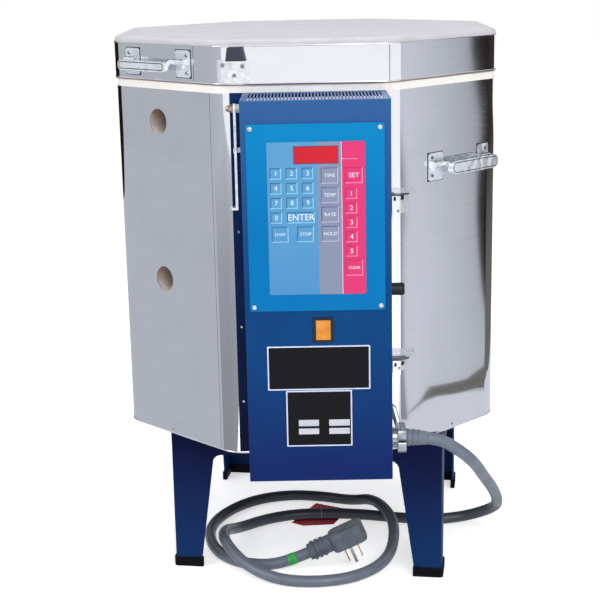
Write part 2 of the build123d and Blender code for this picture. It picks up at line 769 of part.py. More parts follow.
# Cord clamp under the fuse holder
clamp_face_x = 134.0
cord_radius = 9.0
with BuildPart() as cord_clamp:
    rod((box_right, clamp_y, clamp_z), (1, 0, 0), 3.0, clamp_radius + 2.5)
    rod((box_right, clamp_y, clamp_z), (1, 0, 0), 12.0, clamp_radius)
    rod((box_right, clamp_y, clamp_z), (-1, 0, 0), 12.0, clamp_radius - 3)
    box_between((122.0, clamp_face_x), (clamp_y - 20, clamp_y + 20), (clamp_z + 0.6, clamp_z + 17))
    box_between((122.0, clamp_face_x), (clamp_y - 20, clamp_y + 20), (clamp_z - 17, clamp_z - 0.6))
    rod((122.0, clamp_y, clamp_z), (1, 0, 0), clamp_face_x - 122.0, cord_radius + 2)
    ends = cord_clamp.edges().filter_by(Axis.X).filter_by_position(Axis.X, 122.5, 133.5)
    fillet(ends.filter_by_position(Axis.Y, clamp_y - 21, clamp_y - 19), 4.0)
    ends = cord_clamp.edges().filter_by(Axis.X).filter_by_position(Axis.X, 122.5, 133.5)
    fillet(ends.filter_by_position(Axis.Y, clamp_y + 19, clamp_y + 21), 4.0)
    rod((box_right - 12, clamp_y, clamp_z), (1, 0, 0), 30.0, cord_radius, mode=Mode.SUBTRACT)
finish(cord_clamp, "cord_clamp")

strap_sheet = 1.4
with BuildPart() as cord_strap:
    with BuildSketch(Plane.XZ.offset(-clamp_y - 3)) as strap_shape:
        with BuildLine():
            Polyline(
                (box_right, 334), (box_right, 320), (120, 312), (128, clamp_z + 17),
            )
            offset(amount=strap_sheet / 2, side=Side.BOTH)
        make_face()
    extrude(strap_shape.sketch, amount=6.0)
    box_between((0, box_right), (-500, -200), (0, 500), mode=Mode.SUBTRACT)
    box_between((0, 500), (-500, -200), (0, clamp_z + 17), mode=Mode.SUBTRACT)
finish(cord_strap, "cord_strap")

# Bail handles: two screwed brackets with a barrel each and a swinging grip
barrel_radius = 4.0
bracket_sheet = 1.5
pin_radius = 2.5
pin_reach = 14.0
hinge_out = 8.0
bail_arm_width = 3.7


def handle_brackets(face, plates, hinge_up, arms):
    """Bracket plates with barrels, bored for the grip's pins."""
    for u_low, u_high, v_low, v_high in plates:
        with BuildSketch(face) as plate:
            with Locations(((u_low + u_high) / 2, (v_low + v_high) / 2)):
                RectangleRounded(u_high - u_low, v_high - v_low, 4.0)
        extrude(plate.sketch, amount=bracket_sheet)
    barrels = (
        (plates[0][0] + 6, arms[0] - bail_arm_width / 2 - moving_gap),
        (arms[1] + bail_arm_width / 2 + moving_gap, plates[1][1] - 6),
    )
    for u_low, u_high in barrels:
        with BuildSketch(across(face, u_low)) as saddle:
            with Locations((hinge_up, hinge_out)):
                Circle(barrel_radius)
            with Locations((hinge_up, hinge_out / 2)):
                Rectangle(2 * barrel_radius, hinge_out)
        extrude(saddle.sketch, amount=u_high - u_low)
    bore_starts = (barrels[0][1] - pin_reach - moving_gap, barrels[1][0])
    for start in bore_starts:
        with BuildSketch(across(face, start)) as bore:
            with Locations((hinge_up, hinge_out)):
                Circle(pin_radius + running_fit)
        extrude(bore.sketch, amount=pin_reach + moving_gap, mode=Mode.SUBTRACT)


def handle_grip(face, span, grip_up, grip_height, grip_out, hinge_up, arms):
    """Swinging grip: flat bar with round ends, two arms and their pins."""
    grip_thickness = 8.0
    with BuildSketch(face.offset(grip_out - grip_thickness / 2)) as bar:
        with Locations(((span[0] + span[1]) / 2, grip_up)):
            SlotOverall(span[1] - span[0], grip_height)
    extrude(bar.sketch, amount=grip_thickness)
    rise = hinge_up - grip_up
    drop = grip_out - hinge_out
    reach = sqrt(rise ** 2 + drop ** 2)
    lean = degrees(atan2(-drop, rise))
    for arm_u in arms:
        with BuildSketch(across(face, arm_u - bail_arm_width / 2)) as arm_link:
            with Locations(((hinge_up + grip_up) / 2, (hinge_out + grip_out) / 2)):
                SlotCenterToCenter(reach, 7.0, rotation=lean)
        extrude(arm_link.sketch, amount=bail_arm_width)
    pin_starts = (
        arms[0] - bail_arm_width / 2 - moving_gap - pin_reach,
        arms[1] + bail_arm_width / 2 - 1,
    )
    for start in pin_starts:
        with BuildSketch(across(face, start)) as pin:
            with Locations((hinge_up, hinge_out)):
                Circle(pin_radius)
        extrude(pin.sketch, amount=pin_reach + moving_gap + 1)


side_plates = ((-39.0, -6.6, 618.7, 659.0), (74.7, 100.0, 624.7, 661.0))
side_arms = (-3.5, 71.5)
side_hinge_up = 643.0
side_grip_span = (-9.5, 99.0)
side_grip_up = 636.0
side_grip_height = 20.0
grip_out = 18.0

with BuildPart() as side_handle_brackets:
    handle_brackets(right_face, side_plates, side_hinge_up, side_arms)
    handle_brackets(rear_left_face, side_plates, side_hinge_up, side_arms)
finish(side_handle_brackets, "side_handle_brackets")

for name, face in (("right", right_face), ("left", rear_left_face)):
    with BuildPart() as side_grip:
        handle_grip(face, side_grip_span, side_grip_up, side_grip_height, grip_out,
                    side_hinge_up, side_arms)
    finish(side_grip, f"side_grip_{name}")

# Lid: brick slab, steel band, catch plate, lift block, handle and hinge
with BuildPart() as lid_slab:
    octagon_prism(lid_apothem, chamber_top, lid_thickness)
    top_rim = lid_slab.faces().sort_by(Axis.Z)[-1].edges()
    fillet(top_rim, lid_edge_radius)
finish(lid_slab, "lid_slab")

with BuildPart() as lid_band:
    octagon_band(lid_band_apothem, lid_apothem, lid_band_low, lid_band_height)
finish(lid_band, "lid_band")

catch_sheet = 1.5
catch_x = (-123.0, -78.0)
catch_z = (771.0, 802.0)
catch_shelf_x = (-112.0, -80.0)
catch_shelf_y = -308.0
with BuildPart() as lid_catch_plate:
    with BuildSketch(Plane.XY.offset(catch_z[0])) as catch_shape:
        with Locations((sum(catch_x) / 2, -260)):
            Rectangle(catch_x[1] - catch_x[0], 120)
        add(octagon(lid_band_apothem + catch_sheet), mode=Mode.INTERSECT)
        add(octagon(lid_band_apothem), mode=Mode.SUBTRACT)
    extrude(catch_shape.sketch, amount=catch_z[1] - catch_z[0])
    with BuildSketch(Plane.XY.offset(catch_z[1] - catch_sheet)) as shelf_shape:
        with Locations((sum(catch_shelf_x) / 2, catch_shelf_y / 2)):
            Rectangle(catch_shelf_x[1] - catch_shelf_x[0], -catch_shelf_y)
        add(octagon(lid_band_apothem), mode=Mode.SUBTRACT)
    extrude(shelf_shape.sketch, amount=catch_sheet)
finish(lid_catch_plate, "lid_catch_plate")

grip_low_x = (-110.0, -82.0)
grip_high_x = (-107.7, -86.2)
grip_low_y = (-308.0, -290.0)
grip_high_y = (-306.0, -292.0)
grip_high_z = 820.5
with BuildPart() as lid_lift_block:
    with BuildSketch(Plane.XY.offset(catch_z[1])):
        with Locations((sum(grip_low_x) / 2, sum(grip_low_y) / 2)):
            RectangleRounded(grip_low_x[1] - grip_low_x[0], grip_low_y[1] - grip_low_y[0], 2.5)
    with BuildSketch(Plane.XY.offset(grip_high_z)):
        with Locations((sum(grip_high_x) / 2, sum(grip_high_y) / 2)):
            RectangleRounded(grip_high_x[1] - grip_high_x[0], grip_high_y[1] - grip_high_y[0], 2.5)
    loft()
    block_top = lid_lift_block.faces().sort_by(Axis.Z)[-1].edges()
    fillet(block_top, 1.2)
finish(lid_lift_block, "lid_lift_block")

lid_left_face = wall_plane(-135, lid_band_apothem)
lid_plates = ((-87.0, -56.0, 775.5, 814.0), (27.0, 58.5, 775.5, 814.0))
lid_arms = (-53.8, 20.8)
lid_hinge_up = 797.5
lid_grip_span = (-82.0, 25.0)
lid_grip_up = 790.5
with BuildPart() as lid_handle_brackets:
    handle_brackets(lid_left_face, lid_plates, lid_hinge_up, lid_arms)
finish(lid_handle_brackets, "lid_handle_brackets")

with BuildPart() as lid_grip:
    handle_grip(lid_left_face, lid_grip_span, lid_grip_up, 15.0, grip_out, lid_hinge_up, lid_arms)
finish(lid_grip, "lid_grip")

# Rear hinge of the lid
hinge_y = 298.0
hinge_z = 769.0
hinge_pin_radius = 3.0
knuckle_radius = 6.0
hinge_sheet = 2.0
knuckle_gap = 0.2
knuckle_edges = (-100.0, -60.0, -20.0, 20.0, 60.0, 100.0)
base_leaf_z = (690.0, 756.0)
lid_leaf_z = (776.0, 812.0)


def knuckle(x_low, x_high, wall_y, wall_z):
    """Barrel with a web down or up to its leaf, bored for the hinge pin."""
    with BuildSketch(Plane.YZ.offset(x_low + knuckle_gap)) as profile:
        with BuildLine():
            Polyline(
                (wall_y, wall_z[0]), (wall_y, wall_z[1]), (hinge_y, hinge_z + 4.5),
                (hinge_y, hinge_z - 4.5), close=True,
            )
        make_face()
        with Locations((hinge_y, hinge_z)):
            Circle(knuckle_radius)
    extrude(profile.sketch, amount=x_high - x_low - 2 * knuckle_gap)


with BuildPart() as hinge_base:
    box_between((knuckle_edges[0], knuckle_edges[-1]),
                (jacket_apothem, jacket_apothem + hinge_sheet), base_leaf_z)
    for place in (1, 3):
        knuckle(knuckle_edges[place], knuckle_edges[place + 1], jacket_apothem,
                (base_leaf_z[1] - 14, base_leaf_z[1] + 4))
    rod((knuckle_edges[0], hinge_y, hinge_z), (1, 0, 0), 200.0, hinge_pin_radius,
        mode=Mode.SUBTRACT)
    octagon_prism(jacket_apothem, stand_height, 600, mode=Mode.SUBTRACT)
finish(hinge_base, "hinge_base")

with BuildPart() as hinge_leaf:
    box_between((knuckle_edges[0], knuckle_edges[-1]),
                (lid_band_apothem, lid_band_apothem + hinge_sheet), lid_leaf_z)
    for place in (0, 2, 4):
        knuckle(knuckle_edges[place], knuckle_edges[place + 1], lid_band_apothem,
                (lid_leaf_z[0] - 2, lid_leaf_z[0] + 14))
    rod((knuckle_edges[0], hinge_y, hinge_z), (1, 0, 0), 200.0,
        hinge_pin_radius + running_fit, mode=Mode.SUBTRACT)
finish(hinge_leaf, "hinge_leaf")

with BuildPart() as hinge_pin:
    rod((knuckle_edges[0] - 3, hinge_y, hinge_z), (1, 0, 0), 206.0, hinge_pin_radius)
finish(hinge_pin, "hinge_pin")

# Power cord: straight runs joined by tangent arcs, from the clamp to the plug
cord_points = [
    (clamp_face_x, clamp_y, clamp_z),
    (178, clamp_y, clamp_z), (214, -330, 240), (241, -285, 204), (262, -225, 160),
    (284, -160, 116), (301, -98, 72), (306, -46, 36), (259, -19, 9), (200, -32, 9),
    (142, -20, 9), (86, -6, 9.8), (28, 3, 9.8), (-30, 1, 9.8), (-82, -19, 9.8),
    (-126, -59, 11), (-149, -118, 33), (-141, -178, 35), (-107, -229, 20), (-58, -259, 9),
    (0, -270, 9), (57, -257, 9), (102, -216, 9), (127, -157, 12), (133, -82, 34),
    (104, 2, 36), (66, 48, 14), (16, 83, 9), (-43, 93, 9), (-104, 72, 9),
    (-152, 18, 9), (-176, -50, 9), (-168, -122, 9), (-140, -176, 9), (-98, -203, 9),
    (-49.2, -200, 9), (-8, -198, 27),
]
runs = [Vector(*end) - Vector(*start) for start, end in zip(cord_points, cord_points[1:])]
cord_radii = []
for before, after in zip(runs, runs[1:]):
    half_turn = radians(before.get_angle(after)) / 2
    cord_radii.append(0.45 * min(before.length, after.length) / tan(half_turn))

with BuildPart() as power_cord:
    with BuildLine() as cord_path:
        FilletPolyline(*cord_points, radius=cord_radii)
    with BuildSketch(Plane(cord_points[0], z_dir=(1, 0, 0))):
        Circle(cord_radius)
    sweep(path=cord_path.line)
cord_length = sum(edge.length for edge in cord_path.line.edges())
cord_section = 3.14159265 * cord_radius ** 2
print("cord length", round(cord_length, 1), "volume ratio",
      round(power_cord.part.volume / (cord_section * cord_length), 4))
print("cord radii", [round(radius) for radius in cord_radii])
finish(power_cord, "power_cord")

# Plug: right angled, propped on its blades with the cord end low
plug_start = Vector(*cord_points[-1])
plug_axis = runs[-1].normalized()
blade_hint = Vector(0.40, -0.12, -0.91)
blade_axis = (blade_hint - plug_axis * blade_hint.dot(plug_axis)).normalized()
plug_side = blade_axis.cross(plug_axis).normalized()
plug_plane = Plane(plug_start, x_dir=plug_side, z_dir=plug_axis)
face_depth = 15.0
head_span = (38.0, 94.0)
head_width = 46.0
barrel_taper = (13.0, 15.0)
blade_places = (52.0, 74.0)
blade_length = 26.0
ground_place = 63.0
blade_plane = Plane(plug_start + blade_axis * face_depth, x_dir=plug_axis, z_dir=blade_axis)

with BuildPart() as plug_body:
    with BuildSketch(blade_plane.offset(-2 * face_depth)):
        with Locations((sum(head_span) / 2, 0)):
            RectangleRounded(head_span[1] - head_span[0], head_width, 12.0)
    extrude(amount=2 * face_depth)
    rims = plug_body.faces().filter_by(blade_plane)
    fillet(rims.edges(), 2.5)
    with BuildSketch(plug_plane):
        Circle(barrel_taper[0])
    with BuildSketch(plug_plane.offset(head_span[0] + 4)):
        Circle(barrel_taper[1] - 0.6)
    loft()
    for ridge in range(3):
        with BuildSketch(plug_plane.offset(6 + 8 * ridge)):
            Circle(barrel_taper[1] + 0.5)
        extrude(amount=4)
finish(plug_body, "plug_body")

with BuildPart() as plug_blades:
    for place in blade_places:
        with BuildSketch(blade_plane) as blade:
            with Locations((place, -6)):
                Rectangle(1.6, 9.0)
        extrude(blade.sketch, amount=blade_length)
finish(plug_blades, "plug_blades")

with BuildPart() as plug_ground_pin:
    with BuildSketch(blade_plane) as ground:
        with Locations((ground_place, 9)):
            SlotOverall(7.2, 4.8, rotation=90)
            with Locations((0, 2)):
                Rectangle(2.2, 5.0, mode=Mode.SUBTRACT)
    extrude(ground.sketch, amount=blade_length + 2)
finish(plug_ground_pin, "plug_ground_pin")

tag_sheet = 0.5
tag_corners = [(4, 72), (61, 41), (33, -24), (-18, -28), (-38, -14)]
with BuildPart() as cord_tag:
    with BuildSketch():
        with BuildLine():
            Polyline(*tag_corners, close=True)
        make_face()
    extrude(amount=tag_sheet)
finish(cord_tag, "cord_tag")
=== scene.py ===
import bpy, bmesh, json, math
from mathutils import Matrix, Vector
from mathutils.bvhtree import BVHTree


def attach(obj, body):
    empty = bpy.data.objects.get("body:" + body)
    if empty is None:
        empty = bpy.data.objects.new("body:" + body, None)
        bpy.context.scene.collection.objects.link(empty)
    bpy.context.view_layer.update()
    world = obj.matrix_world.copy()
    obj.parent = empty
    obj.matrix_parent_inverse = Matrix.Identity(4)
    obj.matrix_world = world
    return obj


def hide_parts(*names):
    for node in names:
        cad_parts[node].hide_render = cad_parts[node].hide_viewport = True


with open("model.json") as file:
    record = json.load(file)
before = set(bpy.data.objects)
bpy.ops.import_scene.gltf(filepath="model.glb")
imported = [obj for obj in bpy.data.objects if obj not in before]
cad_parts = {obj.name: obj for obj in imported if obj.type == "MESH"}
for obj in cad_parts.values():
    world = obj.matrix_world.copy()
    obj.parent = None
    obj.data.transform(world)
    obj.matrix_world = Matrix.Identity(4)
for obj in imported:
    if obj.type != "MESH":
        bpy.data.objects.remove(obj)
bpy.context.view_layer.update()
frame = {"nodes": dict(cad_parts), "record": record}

# %% [markdown]
# An octagonal ceramic kiln stands on a sheet metal stand, with a control box
# on its front and a heavy grey cord on the floor. The solid parts come from
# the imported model. Here they get their finishes, and the small things that a
# solid model leaves out: screws, key legends, seams, coils and the cord's
# own curve. Everything is in metres, with the floor at zero.

# %% Short names for the things that every step needs
nodes = frame["nodes"]
MM = 0.001
collection = bpy.context.scene.collection
HALF_ROOT = math.sqrt(0.5)


def keep_piece(piece, body):
    """Let a finished piece ride on its body."""
    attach(piece, body)
    return piece


# %% [markdown]
# The camera stands where the photographer stood: a little above the lid, far
# enough back that upright edges stay nearly parallel. Its place and turn were
# fitted to the corners of the jacket and the box, so the render and the
# photograph can be laid over each other.

# %% Camera
camera_data = bpy.data.cameras.new("camera")
camera_data.sensor_width = 36.0
camera_data.lens = 84.734
camera = bpy.data.objects.new("camera", camera_data)
collection.objects.link(camera)
yaw, pitch, roll = 0.0085, -0.2399, 0.0203
look = (
    Matrix.Rotation(yaw, 4, "Z")
    @ Matrix.Rotation(pitch, 4, "X")
    @ Matrix.Rotation(roll, 4, "Y")
)
# A Blender camera looks along its own -Z, so it is tipped up by a quarter turn.
camera.matrix_world = (
    Matrix.Translation((0.00287, -2.26745, 0.9428))
    @ look
    @ Matrix.Rotation(math.radians(90), 4, "X")
)
bpy.context.scene.camera = camera
bpy.context.scene.view_settings.view_transform = "Standard"
print("lens", camera_data.lens)

# %% [markdown]
# The power cord is a thick rubber one, as stiff as a garden hose. It leaves
# the clamp level, drops behind the right front leg, runs under the kiln and
# lies in two loose loops. A NURBS curve of order 3 gives one smooth line with
# no kinks, and it needs only the points of the route. Where the cord crosses
# itself, the route rises in a long low hump with a point on each side.

# %% Cord route and curve
cord_route_mm = [
    (134, -345, 267),
    (178, -345, 267), (214, -330, 240), (241, -285, 204), (262, -225, 160),
    (284, -160, 116), (301, -98, 72), (306, -46, 36), (259, -19, 9), (200, -32, 9),
    (142, -20, 9), (86, -6, 9.8), (28, 3, 9.8), (-30, 1, 9.8), (-82, -19, 9.8),
    (-126, -59, 11), (-149, -118, 33), (-141, -178, 35), (-107, -229, 20), (-58, -259, 9),
    (0, -270, 9), (57, -257, 9), (102, -216, 9), (127, -157, 12), (133, -82, 34),
    (104, 2, 36), (66, 48, 14), (16, 83, 9), (-43, 93, 9), (-104, 72, 9),
    (-152, 18, 9), (-176, -50, 9), (-168, -122, 9), (-140, -176, 9), (-98, -203, 9),
    (-49.2, -200, 9), (-8, -198, 27),
]
cord_radius = 9 * MM
cord_curve = bpy.data.curves.new("power_cord_curve", "CURVE")
cord_curve.dimensions = "3D"
cord_curve.bevel_depth = 1.0
cord_curve.bevel_resolution = 6
cord_curve.resolution_u = 8
cord_curve.use_fill_caps = True
cord_spline = cord_curve.splines.new("NURBS")
cord_spline.points.add(len(cord_route_mm) - 1)
for point, place in zip(cord_spline.points, cord_route_mm):
    point.co = (*(v * MM for v in place), 1.0)
    point.radius = cord_radius
cord_spline.order_u = 3
cord_spline.use_endpoint_u = True
cord = bpy.data.objects.new("cord_line", cord_curve)
collection.objects.link(cord)
keep_piece(cord, "kiln")
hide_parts("power_cord")
print("cord points", len(cord_route_mm))

# %% [markdown]
# A photograph for a catalogue is lit by big soft lamps in a white room. A
# white floor and a white world do most of the work, and three area lamps give
# the edges their soft highlights. Camera and glossy rays see a plain white
# room. What lights the object is set apart and lower, so that a colour comes
# out about as it is written.

# %% Floor, room and lamps
def plain_material(name, colour, roughness, metallic=0.0):
    """A material with one Principled shader, for later steps to build on."""
    material = bpy.data.materials.new(name)
    material.use_nodes = True
    shader = material.node_tree.nodes["Principled BSDF"]
    shader.inputs["Base Color"].default_value = (*colour, 1)
    shader.inputs["Roughness"].default_value = roughness
    shader.inputs["Metallic"].default_value = metallic
    return material


def mesh_piece(name, mesh):
    """An object at the origin that holds a mesh."""
    piece = bpy.data.objects.new(name, mesh)
    collection.objects.link(piece)
    return piece


floor_mesh = bpy.data.meshes.new("floor")
floor_mesh.from_pydata(
    [(-12, -12, 0), (12, -12, 0), (12, 12, 0), (-12, 12, 0)], [], [(0, 1, 2, 3)]
)
floor = mesh_piece("floor", floor_mesh)
floor_white = plain_material("white_floor", (0.9, 0.9, 0.9), 0.9)
floor_tree = floor_white.node_tree
glow = floor_tree.nodes.new("ShaderNodeEmission")
floor_rays = floor_tree.nodes.new("ShaderNodeLightPath")
shown = floor_tree.nodes.new("ShaderNodeMath")
shown.operation = "MAXIMUM"
floor_tree.links.new(floor_rays.outputs["Is Camera Ray"], shown.inputs[0])
floor_tree.links.new(floor_rays.outputs["Is Glossy Ray"], shown.inputs[1])
glow_level = floor_tree.nodes.new("ShaderNodeMath")
glow_level.operation = "MULTIPLY"
glow_level.inputs[1].default_value = 0.55
floor_tree.links.new(shown.outputs[0], glow_level.inputs[0])
floor_tree.links.new(glow_level.outputs[0], glow.inputs["Strength"])
both = floor_tree.nodes.new("ShaderNodeAddShader")
floor_tree.links.new(floor_tree.nodes["Principled BSDF"].outputs[0], both.inputs[0])
floor_tree.links.new(glow.outputs[0], both.inputs[1])
floor_tree.links.new(both.outputs[0], floor_tree.nodes["Material Output"].inputs["Surface"])
floor.data.materials.append(floor_white)

world = bpy.data.worlds.new("white_room")
bpy.context.scene.world = world
world.use_nodes = True
world_nodes = world.node_tree.nodes
world_links = world.node_tree.links
world_nodes.clear()
seen = world_nodes.new("ShaderNodeBackground")
seen.inputs["Color"].default_value = (1, 1, 1, 1)
seen.inputs["Strength"].default_value = 1.0
lit = world_nodes.new("ShaderNodeBackground")
lit.inputs["Color"].default_value = (0.97, 0.985, 1.0, 1)
lit.inputs["Strength"].default_value = 0.52
rays = world_nodes.new("ShaderNodeLightPath")
looks_white = rays.outputs["Is Camera Ray"]
for other in ("Is Glossy Ray", "Is Transmission Ray"):
    either = world_nodes.new("ShaderNodeMath")
    either.operation = "MAXIMUM"
    world_links.new(looks_white, either.inputs[0])
    world_links.new(rays.outputs[other], either.inputs[1])
    looks_white = either.outputs[0]
mix = world_nodes.new("ShaderNodeMixShader")
world_links.new(looks_white, mix.inputs[0])
world_links.new(lit.outputs[0], mix.inputs[1])
world_links.new(seen.outputs[0], mix.inputs[2])
room = world_nodes.new("ShaderNodeOutputWorld")
world_links.new(mix.outputs[0], room.inputs[0])


def soft_lamp(name, place, target, size, power):
    """Square area lamp that faces a point."""
    lamp_data = bpy.data.lights.new(name, "AREA")
    lamp_data.shape = "SQUARE"
    lamp_data.size = size
    lamp_data.energy = power
    lamp = bpy.data.objects.new(name, lamp_data)
    collection.objects.link(lamp)
    lamp.location = place
    lamp.rotation_euler = (Vector(target) - Vector(place)).to_track_quat("-Z", "Y").to_euler()
    return lamp


# %% [markdown]
# Mirror steel looks like whatever stands around it, and in an all white room
# it nearly vanishes. A photographer lays grey and black cards round the
# object, out of the picture, so that its sides turn grey, its bends get dark
# lines and its front stays white. These cards are seen only in reflections:
# they give no light and throw no shadow. Each corner has a tone of its own, so
# a card can fade from one side to the other.

# %% Reflection cards
def reflection_card(name, corners, tones):
    """Flat card that only mirror rays can see, with one tone or one for each corner."""
    if not isinstance(tones, list):
        tones = [tones] * len(corners)
    card_mesh = bpy.data.meshes.new(name)
    card_mesh.from_pydata(corners, [], [tuple(range(len(corners)))])
    fade = card_mesh.color_attributes.new("tone", "FLOAT_COLOR", "POINT")
    for spot, tone in zip(fade.data, tones):
        spot.color = (*tone, 1.0)
    card = mesh_piece(name, card_mesh)
    paint = bpy.data.materials.new(name + "_tone")
    paint.use_nodes = True
    paint.node_tree.nodes.clear()
    read = paint.node_tree.nodes.new("ShaderNodeAttribute")
    read.attribute_name = "tone"
    light = paint.node_tree.nodes.new("ShaderNodeEmission")
    out = paint.node_tree.nodes.new("ShaderNodeOutputMaterial")
    paint.node_tree.links.new(read.outputs["Color"], light.inputs["Color"])
    paint.node_tree.links.new(light.outputs[0], out.inputs["Surface"])
    card.data.materials.append(paint)
    for ray in ("camera", "diffuse", "transmission", "volume_scatter", "shadow"):
        setattr(card, "visible_" + ray, False)
    return card


card_rise = 0.001
floor_cards = 0


def floor_card(name, corners, tones):
    """Card on the floor, each laid a little above the one before it."""
    global floor_cards
    floor_cards += 1
    return reflection_card(name, [(x, y, 0.003 + card_rise * floor_cards) for x, y in corners], tones)


def upright_card(name, start, end, tones):
    """Card that stands on the floor between two points."""
    low_start, low_end = (*start, 0.0), (*end, 0.0)
    high_start, high_end = (*start, card_height), (*end, card_height)
    if isinstance(tones, list):
        tones = [tones[0], tones[1], tones[1], tones[0]]
    return reflection_card(name, [low_start, low_end, high_end, high_start], tones)


card_height = 2.4
card_reach = 5.0
mid_grey, deep_grey, far_grey = (0.50, 0.52, 0.57), (0.27, 0.28, 0.30), (0.56, 0.58, 0.63)
bright_grey, dull_grey, near_grey = (0.70, 0.72, 0.79), (0.42, 0.44, 0.47), (0.68, 0.70, 0.76)
soot, brown, edge_brown = (0.012, 0.008, 0.007), (0.045, 0.032, 0.027), (0.16, 0.16, 0.148)

floor_card("kiln_ring_card",
           [(0.85 * math.cos(math.radians(turn)), 0.85 * math.sin(math.radians(turn)))
            for turn in range(0, 360, 15)], near_grey)
floor_card("left_floor_card", [(-card_reach, -0.3), (-0.45, -0.3), (-0.45, 5), (-card_reach, 5)], mid_grey)
floor_card("front_left_floor_card",
           [(-0.45, -0.3), (-card_reach, -0.3), (-card_reach, -5), (-0.42, -5)],
           [deep_grey, mid_grey, far_grey, far_grey])
floor_card("left_soot_card", [(-card_reach, 2.3), (-3.0, 2.3), (-1.3, 3.3), (-1.0, 5)], soot)
floor_card("right_inner_card", [(0.5, -0.38), (1.25, -0.38), (1.25, 1.2), (0.5, 1.2)], near_grey)
floor_card("right_floor_card", [(1.1, -0.21), (card_reach, -0.02), (card_reach, 0.42), (1.1, 0.05)],
           [bright_grey, bright_grey, dull_grey, dull_grey])
floor_card("right_brown_card",
           [(1.2, 0.19), (1.5, 0.12), (card_reach, 0.9), (card_reach, 5), (1.0, 5), (0.85, 1.05)],
           [edge_brown, edge_brown, brown, brown, brown, edge_brown])
floor_card("right_soot_card", [(1.5, 0.03), (card_reach, 0.42), (card_reach, 0.9), (1.55, 0.13)], soot)
floor_card("right_line_card", [(0.9, -0.30), (card_reach, -0.45), (card_reach, 0.03), (0.9, -0.203)],
           deep_grey)
floor_card("right_edge_card",
           [(0.90, -0.215), (1.02, -0.168), (1.13, -0.138), (1.19, -0.06), (1.29, -0.01), (1.5, 0.03),
            (1.55, 0.2), (1.17, 0.2), (1.11, -0.05), (1.08, -0.09), (1.06, -0.132), (1.03, -0.155)],
           edge_brown)
upright_card("left_upright_card", (-card_reach, -5), (-card_reach, 2.3), [far_grey, (0.46, 0.48, 0.51)])
upright_card("left_soot_upright", (-card_reach, 2.3), (-1.0, 5), soot)
upright_card("right_line_upright", (card_reach, -0.45), (card_reach, 0.03), deep_grey)
upright_card("right_upright_card", (card_reach, 0.03), (card_reach, 0.42), [bright_grey, dull_grey])
upright_card("right_soot_upright", (card_reach, 0.42), (card_reach, 0.9), soot)
upright_card("right_brown_upright", (card_reach, 0.9), (card_reach, 5), brown)
reflection_card("back_high_card", [(-4, 6, 1.0), (4, 6, 1.0), (4, 6, 3.6), (-4, 6, 3.6)], (0.09, 0.10, 0.11))
reflection_card("overhead_card", [(-2.5, -1.2, 3.2), (2.5, -1.2, 3.2), (2.5, 4, 3.2), (-2.5, 4, 3.2)],
                (0.12, 0.13, 0.15))

# %% [markdown]
# Three square lamps light the kiln: one high in front, one from the left and
# one over the lid. They are weak, because the white room gives most of the
# light already.

# %% Lamps
soft_lamp("front_lamp", (0.9, -2.6, 1.9), (0, 0, 0.45), 1.6, 42)
soft_lamp("left_lamp", (-2.2, -1.2, 1.7), (0, 0, 0.45), 1.4, 18)
soft_lamp("top_lamp", (0.0, 0.3, 2.8), (0, 0, 0.8), 1.8, 18)


# %% [markdown]
# Paint, steel, brick and rubber all need the same few effects: a fine speckle, long brushed streaks, a slow
# change of tone with height, dust that has settled on level faces, and a stripe between two places. Some
# finishes use the change with height for painted light and shade, and the chrome uses the level-face mask
# for a painted dark reflection on its upper faces. Each is a shader node group, made once and then placed in
# every material with its own values.
# A group gives only a mask from 0 to 1, so the shader itself stays in the
# material, where it can be exported.

# %% Shader groups
def start_group(name, inputs, output="Mask"):
    """A shader node group with float inputs and one float output."""
    group = bpy.data.node_groups.new(name, "ShaderNodeTree")
    for label, value in inputs.items():
        socket = group.interface.new_socket(label, in_out="INPUT", socket_type="NodeSocketFloat")
        socket.default_value = value
    group.interface.new_socket(output, in_out="OUTPUT", socket_type="NodeSocketFloat")
    start = group.nodes.new("NodeGroupInput")
    end = group.nodes.new("NodeGroupOutput")
    return group, start, end


def math_node(tree, operation, first, second=None, third=None, clamp=False):
    """A Math node fed by sockets or plain numbers, and its result."""
    node = tree.nodes.new("ShaderNodeMath")
    node.operation = operation
    node.use_clamp = clamp
    for slot_number, value in enumerate((first, second, third)):
        if value is None:
            continue
        if isinstance(value, (int, float)):
            node.inputs[slot_number].default_value = value
        else:
            tree.links.new(value, node.inputs[slot_number])
    return node.outputs[0]


def spread(tree, value, low, high, to_low=0.0, to_high=1.0):
    """A Map Range node that stretches low..high to to_low..to_high, and its result."""
    node = tree.nodes.new("ShaderNodeMapRange")
    for label, number in (("Value", value), ("From Min", low), ("From Max", high),
                          ("To Min", to_low), ("To Max", to_high)):
        if isinstance(number, (int, float)):
            node.inputs[label].default_value = number
        else:
            tree.links.new(number, node.inputs[label])
    return node.outputs[0]


def object_place(tree):
    """Where a point is on the object, in metres, as a vector and as X, Y and Z."""
    place = tree.nodes.new("ShaderNodeTexCoord").outputs["Object"]
    parts = tree.nodes.new("ShaderNodeSeparateXYZ")
    tree.links.new(place, parts.inputs[0])
    return place, parts.outputs


speckle_group, start, end = start_group(
    "surface_speckle", {"Size mm": 5.0, "Low": 0.35, "High": 0.65, "Detail": 3.0}
)
place, _ = object_place(speckle_group)
noise = speckle_group.nodes.new("ShaderNodeTexNoise")
speckle_group.links.new(place, noise.inputs["Vector"])
speckle_group.links.new(
    math_node(speckle_group, "DIVIDE", 1000.0, start.outputs["Size mm"]), noise.inputs["Scale"]
)
speckle_group.links.new(start.outputs["Detail"], noise.inputs["Detail"])
speckle_group.links.new(
    spread(speckle_group, noise.outputs[0], start.outputs["Low"], start.outputs["High"]),
    end.inputs[0],
)

